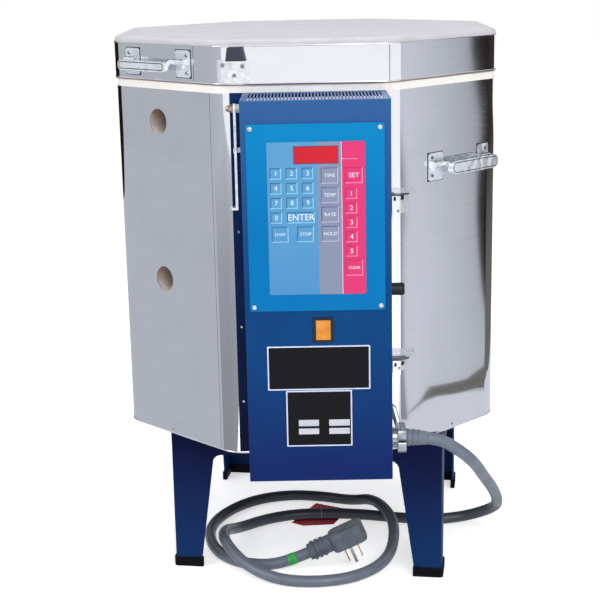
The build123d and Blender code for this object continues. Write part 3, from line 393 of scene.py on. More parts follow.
streak_group, start, end = start_group(
    "brushed_streaks", {"Along mm": 120.0, "Across mm": 0.8, "Low": 0.3, "High": 0.7}
)
place, _ = object_place(streak_group)
stretch = streak_group.nodes.new("ShaderNodeCombineXYZ")
along = math_node(streak_group, "DIVIDE", 1000.0, start.outputs["Along mm"])
across = math_node(streak_group, "DIVIDE", 1000.0, start.outputs["Across mm"])
streak_group.links.new(along, stretch.inputs["X"])
streak_group.links.new(along, stretch.inputs["Y"])
streak_group.links.new(across, stretch.inputs["Z"])
mapped = streak_group.nodes.new("ShaderNodeVectorMath")
mapped.operation = "MULTIPLY"
streak_group.links.new(place, mapped.inputs[0])
streak_group.links.new(stretch.outputs[0], mapped.inputs[1])
noise = streak_group.nodes.new("ShaderNodeTexNoise")
noise.inputs["Scale"].default_value = 1.0
noise.inputs["Detail"].default_value = 2.0
streak_group.links.new(mapped.outputs[0], noise.inputs["Vector"])
streak_group.links.new(
    spread(streak_group, noise.outputs[0], start.outputs["Low"], start.outputs["High"]),
    end.inputs[0],
)

height_group, start, end = start_group("tone_by_height", {"Bottom": 0.0, "Top": 1.0})
_, parts = object_place(height_group)
height_group.links.new(
    spread(height_group, parts["Z"], start.outputs["Bottom"], start.outputs["Top"]), end.inputs[0]
)

# Mask of upward faces: real settled dust in most finishes, and a painted dark reflection on the chrome's
# tops.
dust_and_dark_top_group, start, end = start_group("settled_dust_and_dark_tops", {"Amount": 0.3, "Size mm": 25.0})
facing = dust_and_dark_top_group.nodes.new("ShaderNodeTexCoord").outputs["Normal"]
facing_parts = dust_and_dark_top_group.nodes.new("ShaderNodeSeparateXYZ")
dust_and_dark_top_group.links.new(facing, facing_parts.inputs[0])
place, _ = object_place(dust_and_dark_top_group)
noise = dust_and_dark_top_group.nodes.new("ShaderNodeTexNoise")
noise.inputs["Detail"].default_value = 4.0
dust_and_dark_top_group.links.new(place, noise.inputs["Vector"])
dust_and_dark_top_group.links.new(
    math_node(dust_and_dark_top_group, "DIVIDE", 1000.0, start.outputs["Size mm"]), noise.inputs["Scale"]
)
level = math_node(dust_and_dark_top_group, "MAXIMUM", facing_parts.outputs["Z"], 0.0)
level = math_node(dust_and_dark_top_group, "POWER", level, 3.0)
patchy = spread(dust_and_dark_top_group, noise.outputs[0], 0.25, 0.75)
level = math_node(dust_and_dark_top_group, "MULTIPLY", level, patchy)
level = math_node(dust_and_dark_top_group, "MULTIPLY", level, start.outputs["Amount"], clamp=True)
dust_and_dark_top_group.links.new(level, end.inputs[0])

stripe_group, start, end = start_group("stripe_across", {"From": 0.0, "To": 0.1})
_, parts = object_place(stripe_group)
after = math_node(stripe_group, "GREATER_THAN", parts["X"], start.outputs["From"])
before = math_node(stripe_group, "LESS_THAN", parts["X"], start.outputs["To"])
stripe_group.links.new(math_node(stripe_group, "MULTIPLY", after, before), end.inputs[0])

level_group, start, end = start_group("stripe_up", {"From": 0.0, "To": 0.1})
_, parts = object_place(level_group)
above = math_node(level_group, "GREATER_THAN", parts["Z"], start.outputs["From"])
below = math_node(level_group, "LESS_THAN", parts["Z"], start.outputs["To"])
level_group.links.new(math_node(level_group, "MULTIPLY", above, below), end.inputs[0])

depth_group, start, end = start_group("stripe_in", {"From": 0.0, "To": 0.1})
_, parts = object_place(depth_group)
past = math_node(depth_group, "GREATER_THAN", parts["Y"], start.outputs["From"])
short_of = math_node(depth_group, "LESS_THAN", parts["Y"], start.outputs["To"])
depth_group.links.new(math_node(depth_group, "MULTIPLY", past, short_of), end.inputs[0])

print("groups", [g.name for g in bpy.data.node_groups])


# %% [markdown]
# A finish starts as one colour and is then built up in layers, as real paint
# or metal is: first the base with its own fine speckle, then a roughness that
# wanders a little, then a bump, and on top any dust, stripe or scuff. Colours
# are written as they look on a screen, from 0 to 255, and are turned into the
# straight light values that the shader needs.

# %% Helpers that layer a finish
# Painted shade: a mask strongest low down and behind the kiln's front, where the cord lies in the kiln's
# shadow.
shade_group, start, end = start_group("painted_shade_under_kiln", {"Front": -0.14, "Back": 0.0, "Height": 0.08})
_, parts = object_place(shade_group)
behind = spread(shade_group, parts["Y"], start.outputs["Front"], start.outputs["Back"])
low_down = spread(shade_group, parts["Z"], start.outputs["Height"], 0.035)
shade_group.links.new(math_node(shade_group, "MULTIPLY", behind, low_down), end.inputs[0])


def seen(red, green, blue):
    """Screen colour, 0 to 255, as the linear values that Blender works in."""
    result = []
    for value in (red, green, blue):
        value = value / 255
        result.append(value / 12.92 if value <= 0.04045 else ((value + 0.055) / 1.055) ** 2.4)
    return tuple(result)


def shader_of(material):
    return material.node_tree.nodes["Principled BSDF"]


def effect(material, group, **values):
    """Place a shader group in a material and return its mask."""
    node = material.node_tree.nodes.new("ShaderNodeGroup")
    node.node_tree = group
    for label, value in values.items():
        node.inputs[label.replace("_", " ")].default_value = value
    return node.outputs[0]


def overlay_colour(material, mask, colour):
    """Blend one more colour over what the shader already shows."""
    tree = material.node_tree
    target = shader_of(material).inputs["Base Color"]
    mix = tree.nodes.new("ShaderNodeMix")
    mix.data_type = "RGBA"
    tree.links.new(mask, mix.inputs["Factor"])
    if target.is_linked:
        tree.links.new(target.links[0].from_socket, mix.inputs[6])
    else:
        mix.inputs[6].default_value = target.default_value
    mix.inputs[7].default_value = (*colour, 1)
    tree.links.new(mix.outputs[2], target)


def wander_roughness(material, mask, low, high):
    tree = material.node_tree
    tree.links.new(spread(tree, mask, 0.0, 1.0, low, high), shader_of(material).inputs["Roughness"])


def raise_bump(material, height, depth_mm, strength=1.0):
    """Chain one more Bump node in front of the shader's normal."""
    tree = material.node_tree
    target = shader_of(material).inputs["Normal"]
    bump = tree.nodes.new("ShaderNodeBump")
    bump.inputs["Strength"].default_value = strength
    bump.inputs["Distance"].default_value = depth_mm * MM
    tree.links.new(height, bump.inputs["Height"])
    if target.is_linked:
        tree.links.new(target.links[0].from_socket, bump.inputs["Normal"])
    tree.links.new(bump.outputs[0], target)


def layered(name, colour, tint, rough, rough_to, metallic=0.0, tone_mm=30.0,
            grain_mm=0.9, grain_depth_mm=0.03, dust=0.0, streaks=False, shine=0.5):
    """A finish with a wandering tone, a wandering roughness, a fine bump and dust."""
    material = plain_material(name, colour, rough, metallic)
    if streaks:
        tone = effect(material, streak_group)
    else:
        tone = effect(material, speckle_group, Size_mm=tone_mm)
    overlay_colour(material, tone, tint)
    wander_roughness(material, tone, rough, rough_to)
    shader_of(material).inputs["Specular IOR Level"].default_value = shine
    if grain_depth_mm:
        grain = effect(material, speckle_group, Size_mm=grain_mm, Low=0.2, High=0.8)
        raise_bump(material, grain, grain_depth_mm)
    if dust:
        overlay_colour(material, effect(material, dust_and_dark_top_group, Amount=dust), seen(196, 192, 186))
    return material


def dress(material, *names):
    """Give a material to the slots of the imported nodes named."""
    for name in names:
        mesh = nodes[name].data
        if not mesh.materials:
            mesh.materials.append(material)
        for number in range(len(mesh.materials)):
            mesh.materials[number] = material
    return material


print("mid grey", seen(128, 128, 128))


# %% [markdown]
# The stand is bent from thin sheet and sprayed deep navy. Powder paint is not flat: it has a skin like
# orange peel, and low on the legs it picks up dust and scuffs. The orange peel is a small bump. The navy is
# also painted lighter towards the feet, as painted light from the floor, and stays dark at the tops of the
# legs, as painted shade under the kiln; this change of tone follows height.

# %% Navy stand and black feet
navy = layered("navy_powder_paint", seen(6, 11, 54), seen(8, 16, 65), 0.4, 0.5,
               tone_mm=90, grain_mm=1.6, grain_depth_mm=0.04, dust=0.15, shine=0.08)
# Painted light and shade: the navy turns lighter towards the feet and stays dark up under the kiln.
overlay_colour(navy, effect(navy, height_group, Bottom=0.21, Top=-0.02), seen(17, 56, 110))
overlay_colour(navy, effect(navy, speckle_group, Size_mm=4, Low=0.7, High=0.76), seen(36, 54, 104))
dress(navy, "stand_legs", "stand_rails")

rubber = layered("black_foot_rubber", seen(7, 7, 12), seen(13, 13, 19), 0.6, 0.8,
                 tone_mm=12, grain_mm=0.7, grain_depth_mm=0.04, dust=0.05, shine=0.1)
dress(rubber, "rubber_feet")
print("stand dressed")

# %% [markdown]
# The jacket and the lid band are stainless steel, rolled to a mirror and then
# bent to eight sides. Three things make it look real: very fine lines left by
# rolling, a roughness that drifts so that reflections soften here and there,
# and a slow waviness, because thin sheet is never quite flat. The waviness is
# what bends the edge of a reflection.

# %% Mirror stainless
stainless = layered("mirror_stainless", seen(236, 237, 241), seen(232, 233, 238), 0.035, 0.055,
                    metallic=1.0, grain_depth_mm=0.0, streaks=True)
wave = effect(stainless, speckle_group, Size_mm=260.0, Low=0.0, High=1.0, Detail=0.3)
raise_bump(stainless, wave, 5.0, 0.5)
prints = effect(stainless, speckle_group, Size_mm=70.0, Low=0.55, High=0.9, Detail=5.0)
overlay_colour(stainless, prints, seen(224, 226, 231))
dress(stainless, "jacket", "lid_band")

pan_steel = layered("dull_pan_steel", seen(160, 162, 165), seen(140, 142, 146), 0.32, 0.5,
                    metallic=1.0, grain_mm=0.8, grain_depth_mm=0.01, streaks=True, dust=0.2)
dress(pan_steel, "base_pan")
print("steel dressed")

# %% [markdown]
# The hot face is soft firebrick, the kind that can be cut with a saw. It is
# pale pinkish grey, dusty and full of burnt-out pores. The pores are a
# stretched cell pattern with only the small cells kept, pressed in as a bump
# and darkened a little. The wall rows also show the upright joints between
# bricks, found from the angle around the middle of the kiln.

# %% Firebrick, lid slab and board
def brick_finish(name, colour, tint, joints):
    material = layered(name, colour, tint, 0.85, 0.95, tone_mm=45,
                       grain_mm=1.2, grain_depth_mm=0.15)
    tree = material.node_tree
    place, parts = object_place(tree)
    cells = tree.nodes.new("ShaderNodeTexVoronoi")
    cells.inputs["Scale"].default_value = 260.0
    tree.links.new(place, cells.inputs["Vector"])
    pores = spread(tree, cells.outputs["Distance"], 0.28, 0.12)
    pores = math_node(tree, "MULTIPLY", pores,
                      effect(material, speckle_group, Size_mm=6.0, Low=0.5, High=0.62))
    overlay_colour(material, math_node(tree, "MULTIPLY", pores, 0.45), seen(150, 140, 132))
    raise_bump(material, math_node(tree, "SUBTRACT", 1.0, pores), 0.6)
    if joints:
        angle = math_node(tree, "ARCTAN2", parts["Y"], parts["X"])
        turn = math_node(tree, "MULTIPLY", angle, 16 / (2 * math.pi))
        off_joint = math_node(tree, "PINGPONG", turn, 0.5)
        joint = spread(tree, off_joint, 0.009, 0.003)
        across_plan = tree.nodes.new("ShaderNodeVectorMath")
        across_plan.operation = "LENGTH"
        flat_place = tree.nodes.new("ShaderNodeCombineXYZ")
        tree.links.new(parts["X"], flat_place.inputs["X"])
        tree.links.new(parts["Y"], flat_place.inputs["Y"])
        tree.links.new(flat_place.outputs[0], across_plan.inputs[0])
        inside = spread(tree, across_plan.outputs["Value"], 0.272, 0.262)
        joint = math_node(tree, "MULTIPLY", joint, inside)
        overlay_colour(material, math_node(tree, "MULTIPLY", joint, 0.6), seen(140, 128, 118))
        raise_bump(material, math_node(tree, "SUBTRACT", 1.0, joint), 0.8)
    return material


lid_brick = brick_finish("lid_firebrick", seen(207, 205, 211), seen(202, 200, 206), False)
dress(lid_brick, "lid_slab")
wall_brick = brick_finish("wall_firebrick", seen(251, 248, 243), seen(244, 240, 234), True)

# The peepholes are bored through the left front wall, and firing has browned them; their brown is partly
# that and partly painted shade, deepest at the top of each bore.
brick_tree = wall_brick.node_tree
_, brick_parts = object_place(brick_tree)
across_wall = math_node(brick_tree, "SUBTRACT", brick_parts["X"], brick_parts["Y"])
across_wall = math_node(brick_tree, "MULTIPLY", across_wall, HALF_ROOT)
across_wall = math_node(brick_tree, "ADD", across_wall, 0.022)
for peephole_height in (0.471, 0.708):
    up = math_node(brick_tree, "SUBTRACT", brick_parts["Z"], peephole_height)
    squared = math_node(brick_tree, "ADD", math_node(brick_tree, "POWER", across_wall, 2.0),
                        math_node(brick_tree, "POWER", up, 2.0))
    in_hole = spread(brick_tree, math_node(brick_tree, "SQRT", squared), 0.0215, 0.0192)
    shade = spread(brick_tree, up, -0.016, 0.014, 0.35, 1.0)
    overlay_colour(wall_brick, math_node(brick_tree, "MULTIPLY", in_hole, shade), seen(150, 122, 106))
dress(wall_brick, "brick_row_1", "brick_row_2", "brick_row_3", "brick_row_4", "floor_slab")
board = layered("mineral_board", seen(214, 205, 190), seen(198, 188, 172), 0.85, 0.95,
                tone_mm=18, grain_mm=0.6, grain_depth_mm=0.12)
dress(board, "base_board")
print("brick dressed")

# %% [markdown]
# The control box is sprayed blue. In the photograph it goes from a lighter blue near the top, where it
# catches the room, to a deep blue at the foot, so its colour has two soft steps with height: painted light
# near the top and painted shade at the foot. The pan behind it is the same paint in painted shade, nearly
# navy, and darker again towards its foot.

# %% Blue box paint
box_paint = layered("blue_powder_paint", seen(8, 67, 124), seen(7, 63, 119), 0.4, 0.5,
                    tone_mm=120, grain_mm=1.4, grain_depth_mm=0.03, shine=0.08)
# Painted light: the blue is lighter near the top of the box.
overlay_colour(box_paint, effect(box_paint, height_group, Bottom=0.50, Top=0.76), seen(48, 93, 150))
# Painted shade: the blue is deeper towards the foot of the box.
overlay_colour(box_paint, effect(box_paint, height_group, Bottom=0.42, Top=0.25), seen(14, 38, 98))
overlay_colour(box_paint, effect(box_paint, dust_and_dark_top_group, Amount=0.2), seen(196, 192, 186))
dress(box_paint, "box_cover")
pan_paint = layered("dark_blue_paint", seen(12, 44, 94), seen(10, 37, 84), 0.4, 0.5,
                    tone_mm=80, grain_mm=1.4, grain_depth_mm=0.03, shine=0.08)
# Painted shade: the pan is darker towards its foot.
overlay_colour(pan_paint, effect(pan_paint, height_group, Bottom=0.5, Top=0.22), seen(14, 22, 56))
dress(pan_paint, "box_back_pan")

plate_paint = layered("bright_blue_plate", seen(1, 116, 180), seen(1, 113, 176), 0.35, 0.42,
                      tone_mm=60, grain_mm=1.0, grain_depth_mm=0.015, shine=0.08)
# Painted light: the plate is a brighter blue near its top.
overlay_colour(plate_paint, effect(plate_paint, height_group, Bottom=0.60, Top=0.74), seen(8, 130, 190))
dress(plate_paint, "faceplate")
print("box dressed")

# %% [markdown]
# The keypad is one printed film. Its colours are upright stripes: light blue
# behind the digits, mauve, a thin pale line and then pink. Stripes are told
# apart by X alone, so three masks side by side paint the whole film, and the
# raised key tops get the colour of the stripe that they stand in.

# %% Printed keypad film
film = layered("keypad_film", seen(88, 154, 198), seen(84, 149, 194), 0.35, 0.42,
               tone_mm=40, grain_mm=0.6, grain_depth_mm=0.01, shine=0.25)
overlay_colour(film, effect(film, height_group, Bottom=0.62, Top=0.50), seen(74, 140, 194))
overlay_colour(film, effect(film, stripe_group, From=0.0139, To=0.0449), seen(131, 140, 166))
overlay_colour(film, effect(film, stripe_group, From=0.0449, To=0.0462), seen(205, 180, 215))
overlay_colour(film, effect(film, stripe_group, From=0.0462, To=0.09), seen(216, 52, 112))
dress(film, "keypad_membrane")

window = layered("red_window", seen(206, 22, 42), seen(196, 18, 37), 0.12, 0.18,
                 tone_mm=30, grain_mm=0.8, grain_depth_mm=0.008, shine=0.3)
dress(window, "display_lens")
amber = layered("amber_rocker", seen(216, 142, 42), seen(206, 124, 34), 0.22, 0.32,
                tone_mm=9, grain_mm=0.8, grain_depth_mm=0.01)
shader_of(amber).inputs["Emission Color"].default_value = (*seen(246, 160, 50), 1)
shader_of(amber).inputs["Emission Strength"].default_value = 0.06
dress(amber, "rocker_button")
black = layered("black_plastic_and_painted_shade", seen(16, 16, 19), seen(25, 25, 29), 0.38, 0.5,
                tone_mm=8, grain_mm=0.5, grain_depth_mm=0.02, shine=0.3)
print("panel dressed")

# %% [markdown]
# The small metal parts differ mostly in how they shine. Chromed handles are bright and almost free of
# scratches, with a painted dark reflection on their upper faces; zinc brackets are softer, brass is warm,
# and the element wire has gone dark and rough with heat. The grey rubber of the cord has a faint mottling,
# it gathers dust on its upper side, and it is painted darker where it lies low under the kiln, as painted
# shade.

# %% Small metals, ceramics, plastics and rubber
chrome = layered("bright_chrome", seen(246, 249, 254), seen(226, 232, 240), 0.05, 0.1,
                 metallic=0.55, tone_mm=14, grain_mm=1.5, grain_depth_mm=0.006)
raise_bump(chrome, effect(chrome, speckle_group, Size_mm=14.0, Low=0.1, High=0.9, Detail=0.5), 0.35)
# Painted reflection: the chrome's upper faces are darkened as if they mirrored a dark room above.
overlay_colour(chrome, effect(chrome, dust_and_dark_top_group, Amount=2.0, Size_mm=9.0), seen(62, 66, 69))
zinc = layered("zinc_plate", seen(205, 207, 212), seen(182, 185, 192), 0.22, 0.36,
               metallic=1.0, tone_mm=7, grain_mm=0.6, grain_depth_mm=0.012)
brass = layered("yellow_brass", seen(222, 184, 96), seen(198, 158, 72), 0.2, 0.34,
                metallic=1.0, tone_mm=6, grain_mm=0.5, grain_depth_mm=0.01)
wire = layered("oxidised_wire", seen(96, 88, 82), seen(66, 60, 57), 0.55, 0.75,
               metallic=0.6, tone_mm=5, grain_mm=0.4, grain_depth_mm=0.03)
porcelain = layered("white_porcelain", seen(236, 232, 224), seen(226, 221, 211), 0.2, 0.32,
                    tone_mm=10, grain_mm=0.8, grain_depth_mm=0.02)
nylon = layered("white_nylon", seen(228, 227, 222), seen(216, 215, 209), 0.4, 0.5,
                tone_mm=8, grain_mm=0.6, grain_depth_mm=0.02)
board_green = layered("circuit_board", seen(28, 104, 62), seen(22, 88, 52), 0.3, 0.42,
                      tone_mm=4, grain_mm=0.5, grain_depth_mm=0.02)
iron = layered("laminated_iron", seen(92, 92, 96), seen(70, 70, 74), 0.4, 0.6,
               metallic=0.7, grain_mm=0.5, grain_depth_mm=0.03, streaks=True)
tag_card = layered("red_card", seen(168, 20, 48), seen(150, 14, 40), 0.6, 0.75,
                   tone_mm=12, grain_mm=0.5, grain_depth_mm=0.03)
cord_rubber = layered("grey_cord_rubber", seen(113, 121, 136), seen(103, 111, 126), 0.3, 0.42,
                      tone_mm=26, grain_mm=0.8, grain_depth_mm=0.03, dust=0.12, shine=0.55)
# Painted shade: the cord is darkened where it lies low under the kiln.
overlay_colour(cord_rubber, effect(cord_rubber, shade_group), seen(24, 31, 42))
plug_rubber = layered("grey_plug_rubber", seen(102, 110, 124), seen(90, 98, 111), 0.4, 0.55,
                      tone_mm=14, grain_mm=0.7, grain_depth_mm=0.03, dust=0.1, shine=0.35)
bright_zinc = layered("bright_zinc", seen(246, 247, 250), seen(226, 229, 235), 0.16, 0.3,
                      metallic=0.75, tone_mm=9, grain_mm=0.7, grain_depth_mm=0.008)
cast_zinc = layered("cast_zinc", seen(158, 162, 168), seen(128, 132, 140), 0.2, 0.34,
                    metallic=1.0, tone_mm=8, grain_mm=0.8, grain_depth_mm=0.03)
nickel = layered("aged_nickel", seen(190, 170, 148), seen(160, 142, 124), 0.14, 0.26,
                 metallic=1.0, tone_mm=5, grain_mm=0.5, grain_depth_mm=0.01)
gilt = layered("gilt_blade", seen(238, 196, 82), seen(206, 160, 52), 0.2, 0.34,
               metallic=0.8, tone_mm=6, grain_mm=0.5, grain_depth_mm=0.01)
block_black = layered("blue_black_block", seen(34, 41, 60), seen(26, 32, 49), 0.35, 0.5,
                      tone_mm=20, grain_mm=0.8, grain_depth_mm=0.02, shine=0.4)
cord_curve.materials.append(cord_rubber)
finish_of_slot = {
    "chrome": chrome, "zinc": zinc, "brass": brass, "element_wire": wire,
    "porcelain": porcelain, "nylon": nylon, "board_green": board_green,
    "transformer_steel": iron, "tag_red": tag_card, "cord_grey": cord_rubber,
    "black_plastic": black, "display_red": window, "amber": amber, "stainless": stainless,
    "pan_steel": pan_steel,
}
dressed = {m.name for m in bpy.data.materials}
for part in frame["record"]["subparts"]:
    mesh = nodes[part["node"]].data
    if mesh.materials and mesh.materials[0].name in (
        "navy_powder_paint", "black_foot_rubber", "mirror_stainless", "dull_pan_steel",
        "lid_firebrick", "wall_firebrick", "mineral_board", "blue_powder_paint",
        "dark_blue_paint", "bright_blue_plate", "keypad_film", "red_window", "amber_rocker",
    ):
        continue
    dress(finish_of_slot[part["material_slot"]], part["node"])
dress(plug_rubber, "plug_body")
stay_zinc = layered("stay_zinc", seen(246, 247, 250), seen(226, 229, 235), 0.16, 0.3,
                    metallic=0.75, tone_mm=9, grain_mm=0.7, grain_depth_mm=0.008)
# Painted shade: the front edges of the two stay ledges are darkened as if in shadow.
for shelf_mm in (612, 372):
    shelf = effect(stay_zinc, level_group, From=(shelf_mm - 0.3) * MM, To=(shelf_mm + 3) * MM)
    front_edge = effect(stay_zinc, depth_group, From=-0.32, To=-0.300)
    ledge_painted_shade = math_node(stay_zinc.node_tree, "MULTIPLY", shelf, front_edge)
    overlay_colour(stay_zinc, ledge_painted_shade, seen(70, 82, 98))
dark_zinc = layered("dark_zinc", seen(84, 94, 108), seen(66, 75, 88), 0.2, 0.34,
                    metallic=1.0, tone_mm=8, grain_mm=0.8, grain_depth_mm=0.02)
dress(bright_zinc, "prop_arm", "lid_catch_plate")
dress(stay_zinc, "box_stays")
dress(dark_zinc, "box_tabs")
dress(cast_zinc, "cord_clamp", "cord_strap")
dress(nickel, "acorn_nut")
dress(gilt, "plug_blades")
dress(block_black, "lid_lift_block")


# %% [markdown]
# Screw heads and little plates have to sit exactly on the parts that carry
# them. Instead of typing every depth, a straight line is shot at the packed
# part from outside, and the place where it lands is the seat. The octagon's
# walls are named by the angle that they face, with a place along the wall and
# a height.

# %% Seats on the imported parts
seat_finders = {}


def seat_on(node, point, facing):
    """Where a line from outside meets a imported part, coming in against its facing."""
    if node not in seat_finders:
        mesh = nodes[node].data
        seat_finders[node] = BVHTree.FromPolygons(
            [v.co for v in mesh.vertices], [p.vertices for p in mesh.polygons]
        )
    facing = Vector(facing).normalized()
    start = Vector(point) + facing * 0.1
    hit = seat_finders[node].ray_cast(start, -facing)[0]
    if hit is None:
        print("no seat for", node, point)
    return hit


def wall_facing(angle):
    return Vector((math.cos(math.radians(angle)), math.sin(math.radians(angle)), 0))


def on_wall(angle, along_mm, height_mm, apothem_mm=288.0):
    """A place on one of the octagon's walls, in metres."""
    out = wall_facing(angle)
    sideways = Vector((-out.y, out.x, 0))
    return (out * apothem_mm + sideways * along_mm + Vector((0, 0, height_mm))) * MM


LEFT, FRONT, RIGHT, REAR_LEFT, REAR = -135, -90, -45, 135, 90
print("front wall point", on_wall(FRONT, 0, 500))

# %% [markdown]
# A kiln is held together by dozens of small cross-head screws. One Geometry
# Nodes tree makes the head, cuts its cross with a boolean and sets a copy at
# every point of a small point cloud, turned to face outwards and spun by a
# seeded random angle, because no two screws stop at the same turn. Each body
# gets one mesh, so that the lid's screws rise with the lid.

# %% The screw head tree
def node_in(tree, kind, **settings):
    node = tree.nodes.new(kind)
    for label, value in settings.items():
        setattr(node, label, value)
    return node


def tree_input(tree, label, kind, value=None):
    socket = tree.interface.new_socket(label, in_out="INPUT", socket_type=kind)
    if value is not None:
        socket.default_value = value
    return socket


screw_tree = bpy.data.node_groups.new("cross_head_screws", "GeometryNodeTree")
tree_input(screw_tree, "Points", "NodeSocketGeometry")
tree_input(screw_tree, "Head Height", "NodeSocketFloat", 0.55)
tree_input(screw_tree, "Cross Depth", "NodeSocketFloat", 0.4)
tree_input(screw_tree, "Seed", "NodeSocketInt", 7)
tree_input(screw_tree, "Material", "NodeSocketMaterial")
screw_tree.interface.new_socket("Geometry", in_out="OUTPUT", socket_type="NodeSocketGeometry")
screw_in = node_in(screw_tree, "NodeGroupInput")
screw_out = node_in(screw_tree, "NodeGroupOutput")
head = node_in(screw_tree, "GeometryNodeMeshCone")
head.inputs["Vertices"].default_value = 20
head.inputs["Side Segments"].default_value = 2
head.inputs["Radius Top"].default_value = 0.72
head.inputs["Radius Bottom"].default_value = 1.0
screw_tree.links.new(screw_in.outputs["Head Height"], head.inputs["Depth"])
cutters = node_in(screw_tree, "GeometryNodeJoinGeometry")
for size in ((1.1, 0.24, 1.0), (0.24, 1.1, 1.0)):
    arm = node_in(screw_tree, "GeometryNodeMeshCube")
    arm.inputs["Size"].default_value = size
    lift = node_in(screw_tree, "ShaderNodeCombineXYZ")
    rise = node_in(screw_tree, "ShaderNodeMath", operation="SUBTRACT")
    screw_tree.links.new(screw_in.outputs["Head Height"], rise.inputs[0])
    screw_tree.links.new(screw_in.outputs["Cross Depth"], rise.inputs[1])
    half_up = node_in(screw_tree, "ShaderNodeMath", operation="ADD")
    screw_tree.links.new(rise.outputs[0], half_up.inputs[0])
    half_up.inputs[1].default_value = 0.5
    screw_tree.links.new(half_up.outputs[0], lift.inputs["Z"])
    placed = node_in(screw_tree, "GeometryNodeTransform")
    screw_tree.links.new(arm.outputs["Mesh"], placed.inputs["Geometry"])
    screw_tree.links.new(lift.outputs[0], placed.inputs["Translation"])
    screw_tree.links.new(placed.outputs[0], cutters.inputs[0])
cut = node_in(screw_tree, "GeometryNodeMeshBoolean", operation="DIFFERENCE")
screw_tree.links.new(head.outputs["Mesh"], cut.inputs[0])
screw_tree.links.new(cutters.outputs[0], cut.inputs[1])
facing_field = node_in(screw_tree, "GeometryNodeInputNamedAttribute", data_type="FLOAT_VECTOR")
facing_field.inputs["Name"].default_value = "facing"
size_field = node_in(screw_tree, "GeometryNodeInputNamedAttribute", data_type="FLOAT")
size_field.inputs["Name"].default_value = "head_radius"
align = node_in(screw_tree, "FunctionNodeAlignRotationToVector", axis="Z")
screw_tree.links.new(facing_field.outputs[0], align.inputs["Vector"])
copies = node_in(screw_tree, "GeometryNodeInstanceOnPoints")
screw_tree.links.new(screw_in.outputs["Points"], copies.inputs["Points"])
screw_tree.links.new(cut.outputs["Mesh"], copies.inputs["Instance"])
screw_tree.links.new(align.outputs[0], copies.inputs["Rotation"])
screw_tree.links.new(size_field.outputs[0], copies.inputs["Scale"])
random_turn = node_in(screw_tree, "FunctionNodeRandomValue", data_type="FLOAT")
random_turn.inputs[3].default_value = math.pi / 2
screw_tree.links.new(screw_in.outputs["Seed"], random_turn.inputs["Seed"])
about_z = node_in(screw_tree, "ShaderNodeCombineXYZ")
screw_tree.links.new(random_turn.outputs[1], about_z.inputs["Z"])
spun = node_in(screw_tree, "GeometryNodeRotateInstances")
screw_tree.links.new(copies.outputs[0], spun.inputs["Instances"])
screw_tree.links.new(about_z.outputs[0], spun.inputs["Rotation"])
real = node_in(screw_tree, "GeometryNodeRealizeInstances")
screw_tree.links.new(spun.outputs[0], real.inputs[0])
painted = node_in(screw_tree, "GeometryNodeSetMaterial")
screw_tree.links.new(real.outputs[0], painted.inputs["Geometry"])
screw_tree.links.new(screw_in.outputs["Material"], painted.inputs["Material"])
screw_tree.links.new(painted.outputs[0], screw_out.inputs[0])


def grow_mesh(name, source_mesh, tree, settings):
    """Run a Geometry Nodes tree on a mesh and keep the result as a plain piece."""
    source = mesh_piece(name + "_source", source_mesh)
    modifier = source.modifiers.new("grow", "NODES")
    modifier.node_group = tree
    for item in tree.interface.items_tree:
        if item.item_type == "SOCKET" and item.in_out == "INPUT" and item.name in settings:
            modifier[item.identifier] = settings[item.name]
    evaluated = source.evaluated_get(bpy.context.evaluated_depsgraph_get())
    mesh = bpy.data.meshes.new_from_object(evaluated)
    mesh.name = name
    source.modifiers.remove(modifier)
    bpy.data.objects.remove(source)
    piece = mesh_piece(name, mesh)
    mesh.calc_loop_triangles()
    print(name, len(mesh.loop_triangles), "triangles")
    return piece


print("screw tree nodes", len(screw_tree.nodes))

# %% [markdown]
# Now the places. Handle brackets have two screws each, the catch plate three,
# the hinge leaves four each, and the box stays, the cord clamp and the box's
# flange have their own. The foot of the jacket is pinned to the base pan by
# one small rivet on each open wall.

# %% Screws in place
screws = {"kiln": [], "lid": []}


def screw(body, node, point, facing, radius_mm):
    seat = seat_on(node, point, facing)
    if seat is not None:
        screws[body].append((seat, Vector(facing).normalized(), radius_mm * MM))


for along, height in ((-31, 652.5), (-31, 626), (92, 654), (92, 632)):
    for wall in (RIGHT, REAR_LEFT):
        screw("kiln", "side_handle_brackets", on_wall(wall, along, height), wall_facing(wall), 2.7)
for along, height in ((-79.5, 807), (-79.5, 782), (51, 807), (51, 782)):
    screw("lid", "lid_handle_brackets", on_wall(LEFT, along, height), wall_facing(LEFT), 2.7)
for x, z in ((-115, 795.4), (-87.4, 793.6), (-99.3, 781.3)):
    screw("lid", "lid_catch_plate", (x * MM, -0.29, z * MM), (0, -1, 0), 3.0)
for x in (-84, -40, 40, 84):
    for z in (704, 736):
        screw("kiln", "hinge_base", (x * MM, 0.2885, z * MM), (0, 1, 0), 3.4)
    screw("lid", "hinge_leaf", (x * MM, 0.2901, 0.803), (0, 1, 0), 3.4)
for x, y, z in ((129, -278.5, 584.5), (129.5, -278, 350.5)):
    screw("kiln", "box_stays", (x * MM, y * MM, z * MM), wall_facing(-52), 2.1)
for x, y, z in ((128, -360, 284), (128, -330, 284)):
    screw("kiln", "cord_clamp", (x * MM, y * MM, z * MM), (0, 0, 1), 2.4)
for z in (307, 420, 560, 690):
    screw("kiln", "box_back_pan", (-0.0995, -0.2873, z * MM), (0, -1, 0), 2.4)
for wall in (LEFT, RIGHT, 0, 45, REAR, 135, 180):
    along = -17.5 if wall == LEFT else 20
    screw("kiln", "jacket", on_wall(wall, along, 233), wall_facing(wall), 1.9)
for height in (262, 380, 500, 620, 735):
    screw("kiln", "jacket", on_wall(REAR_LEFT, -96, height), wall_facing(REAR_LEFT), 2.2)

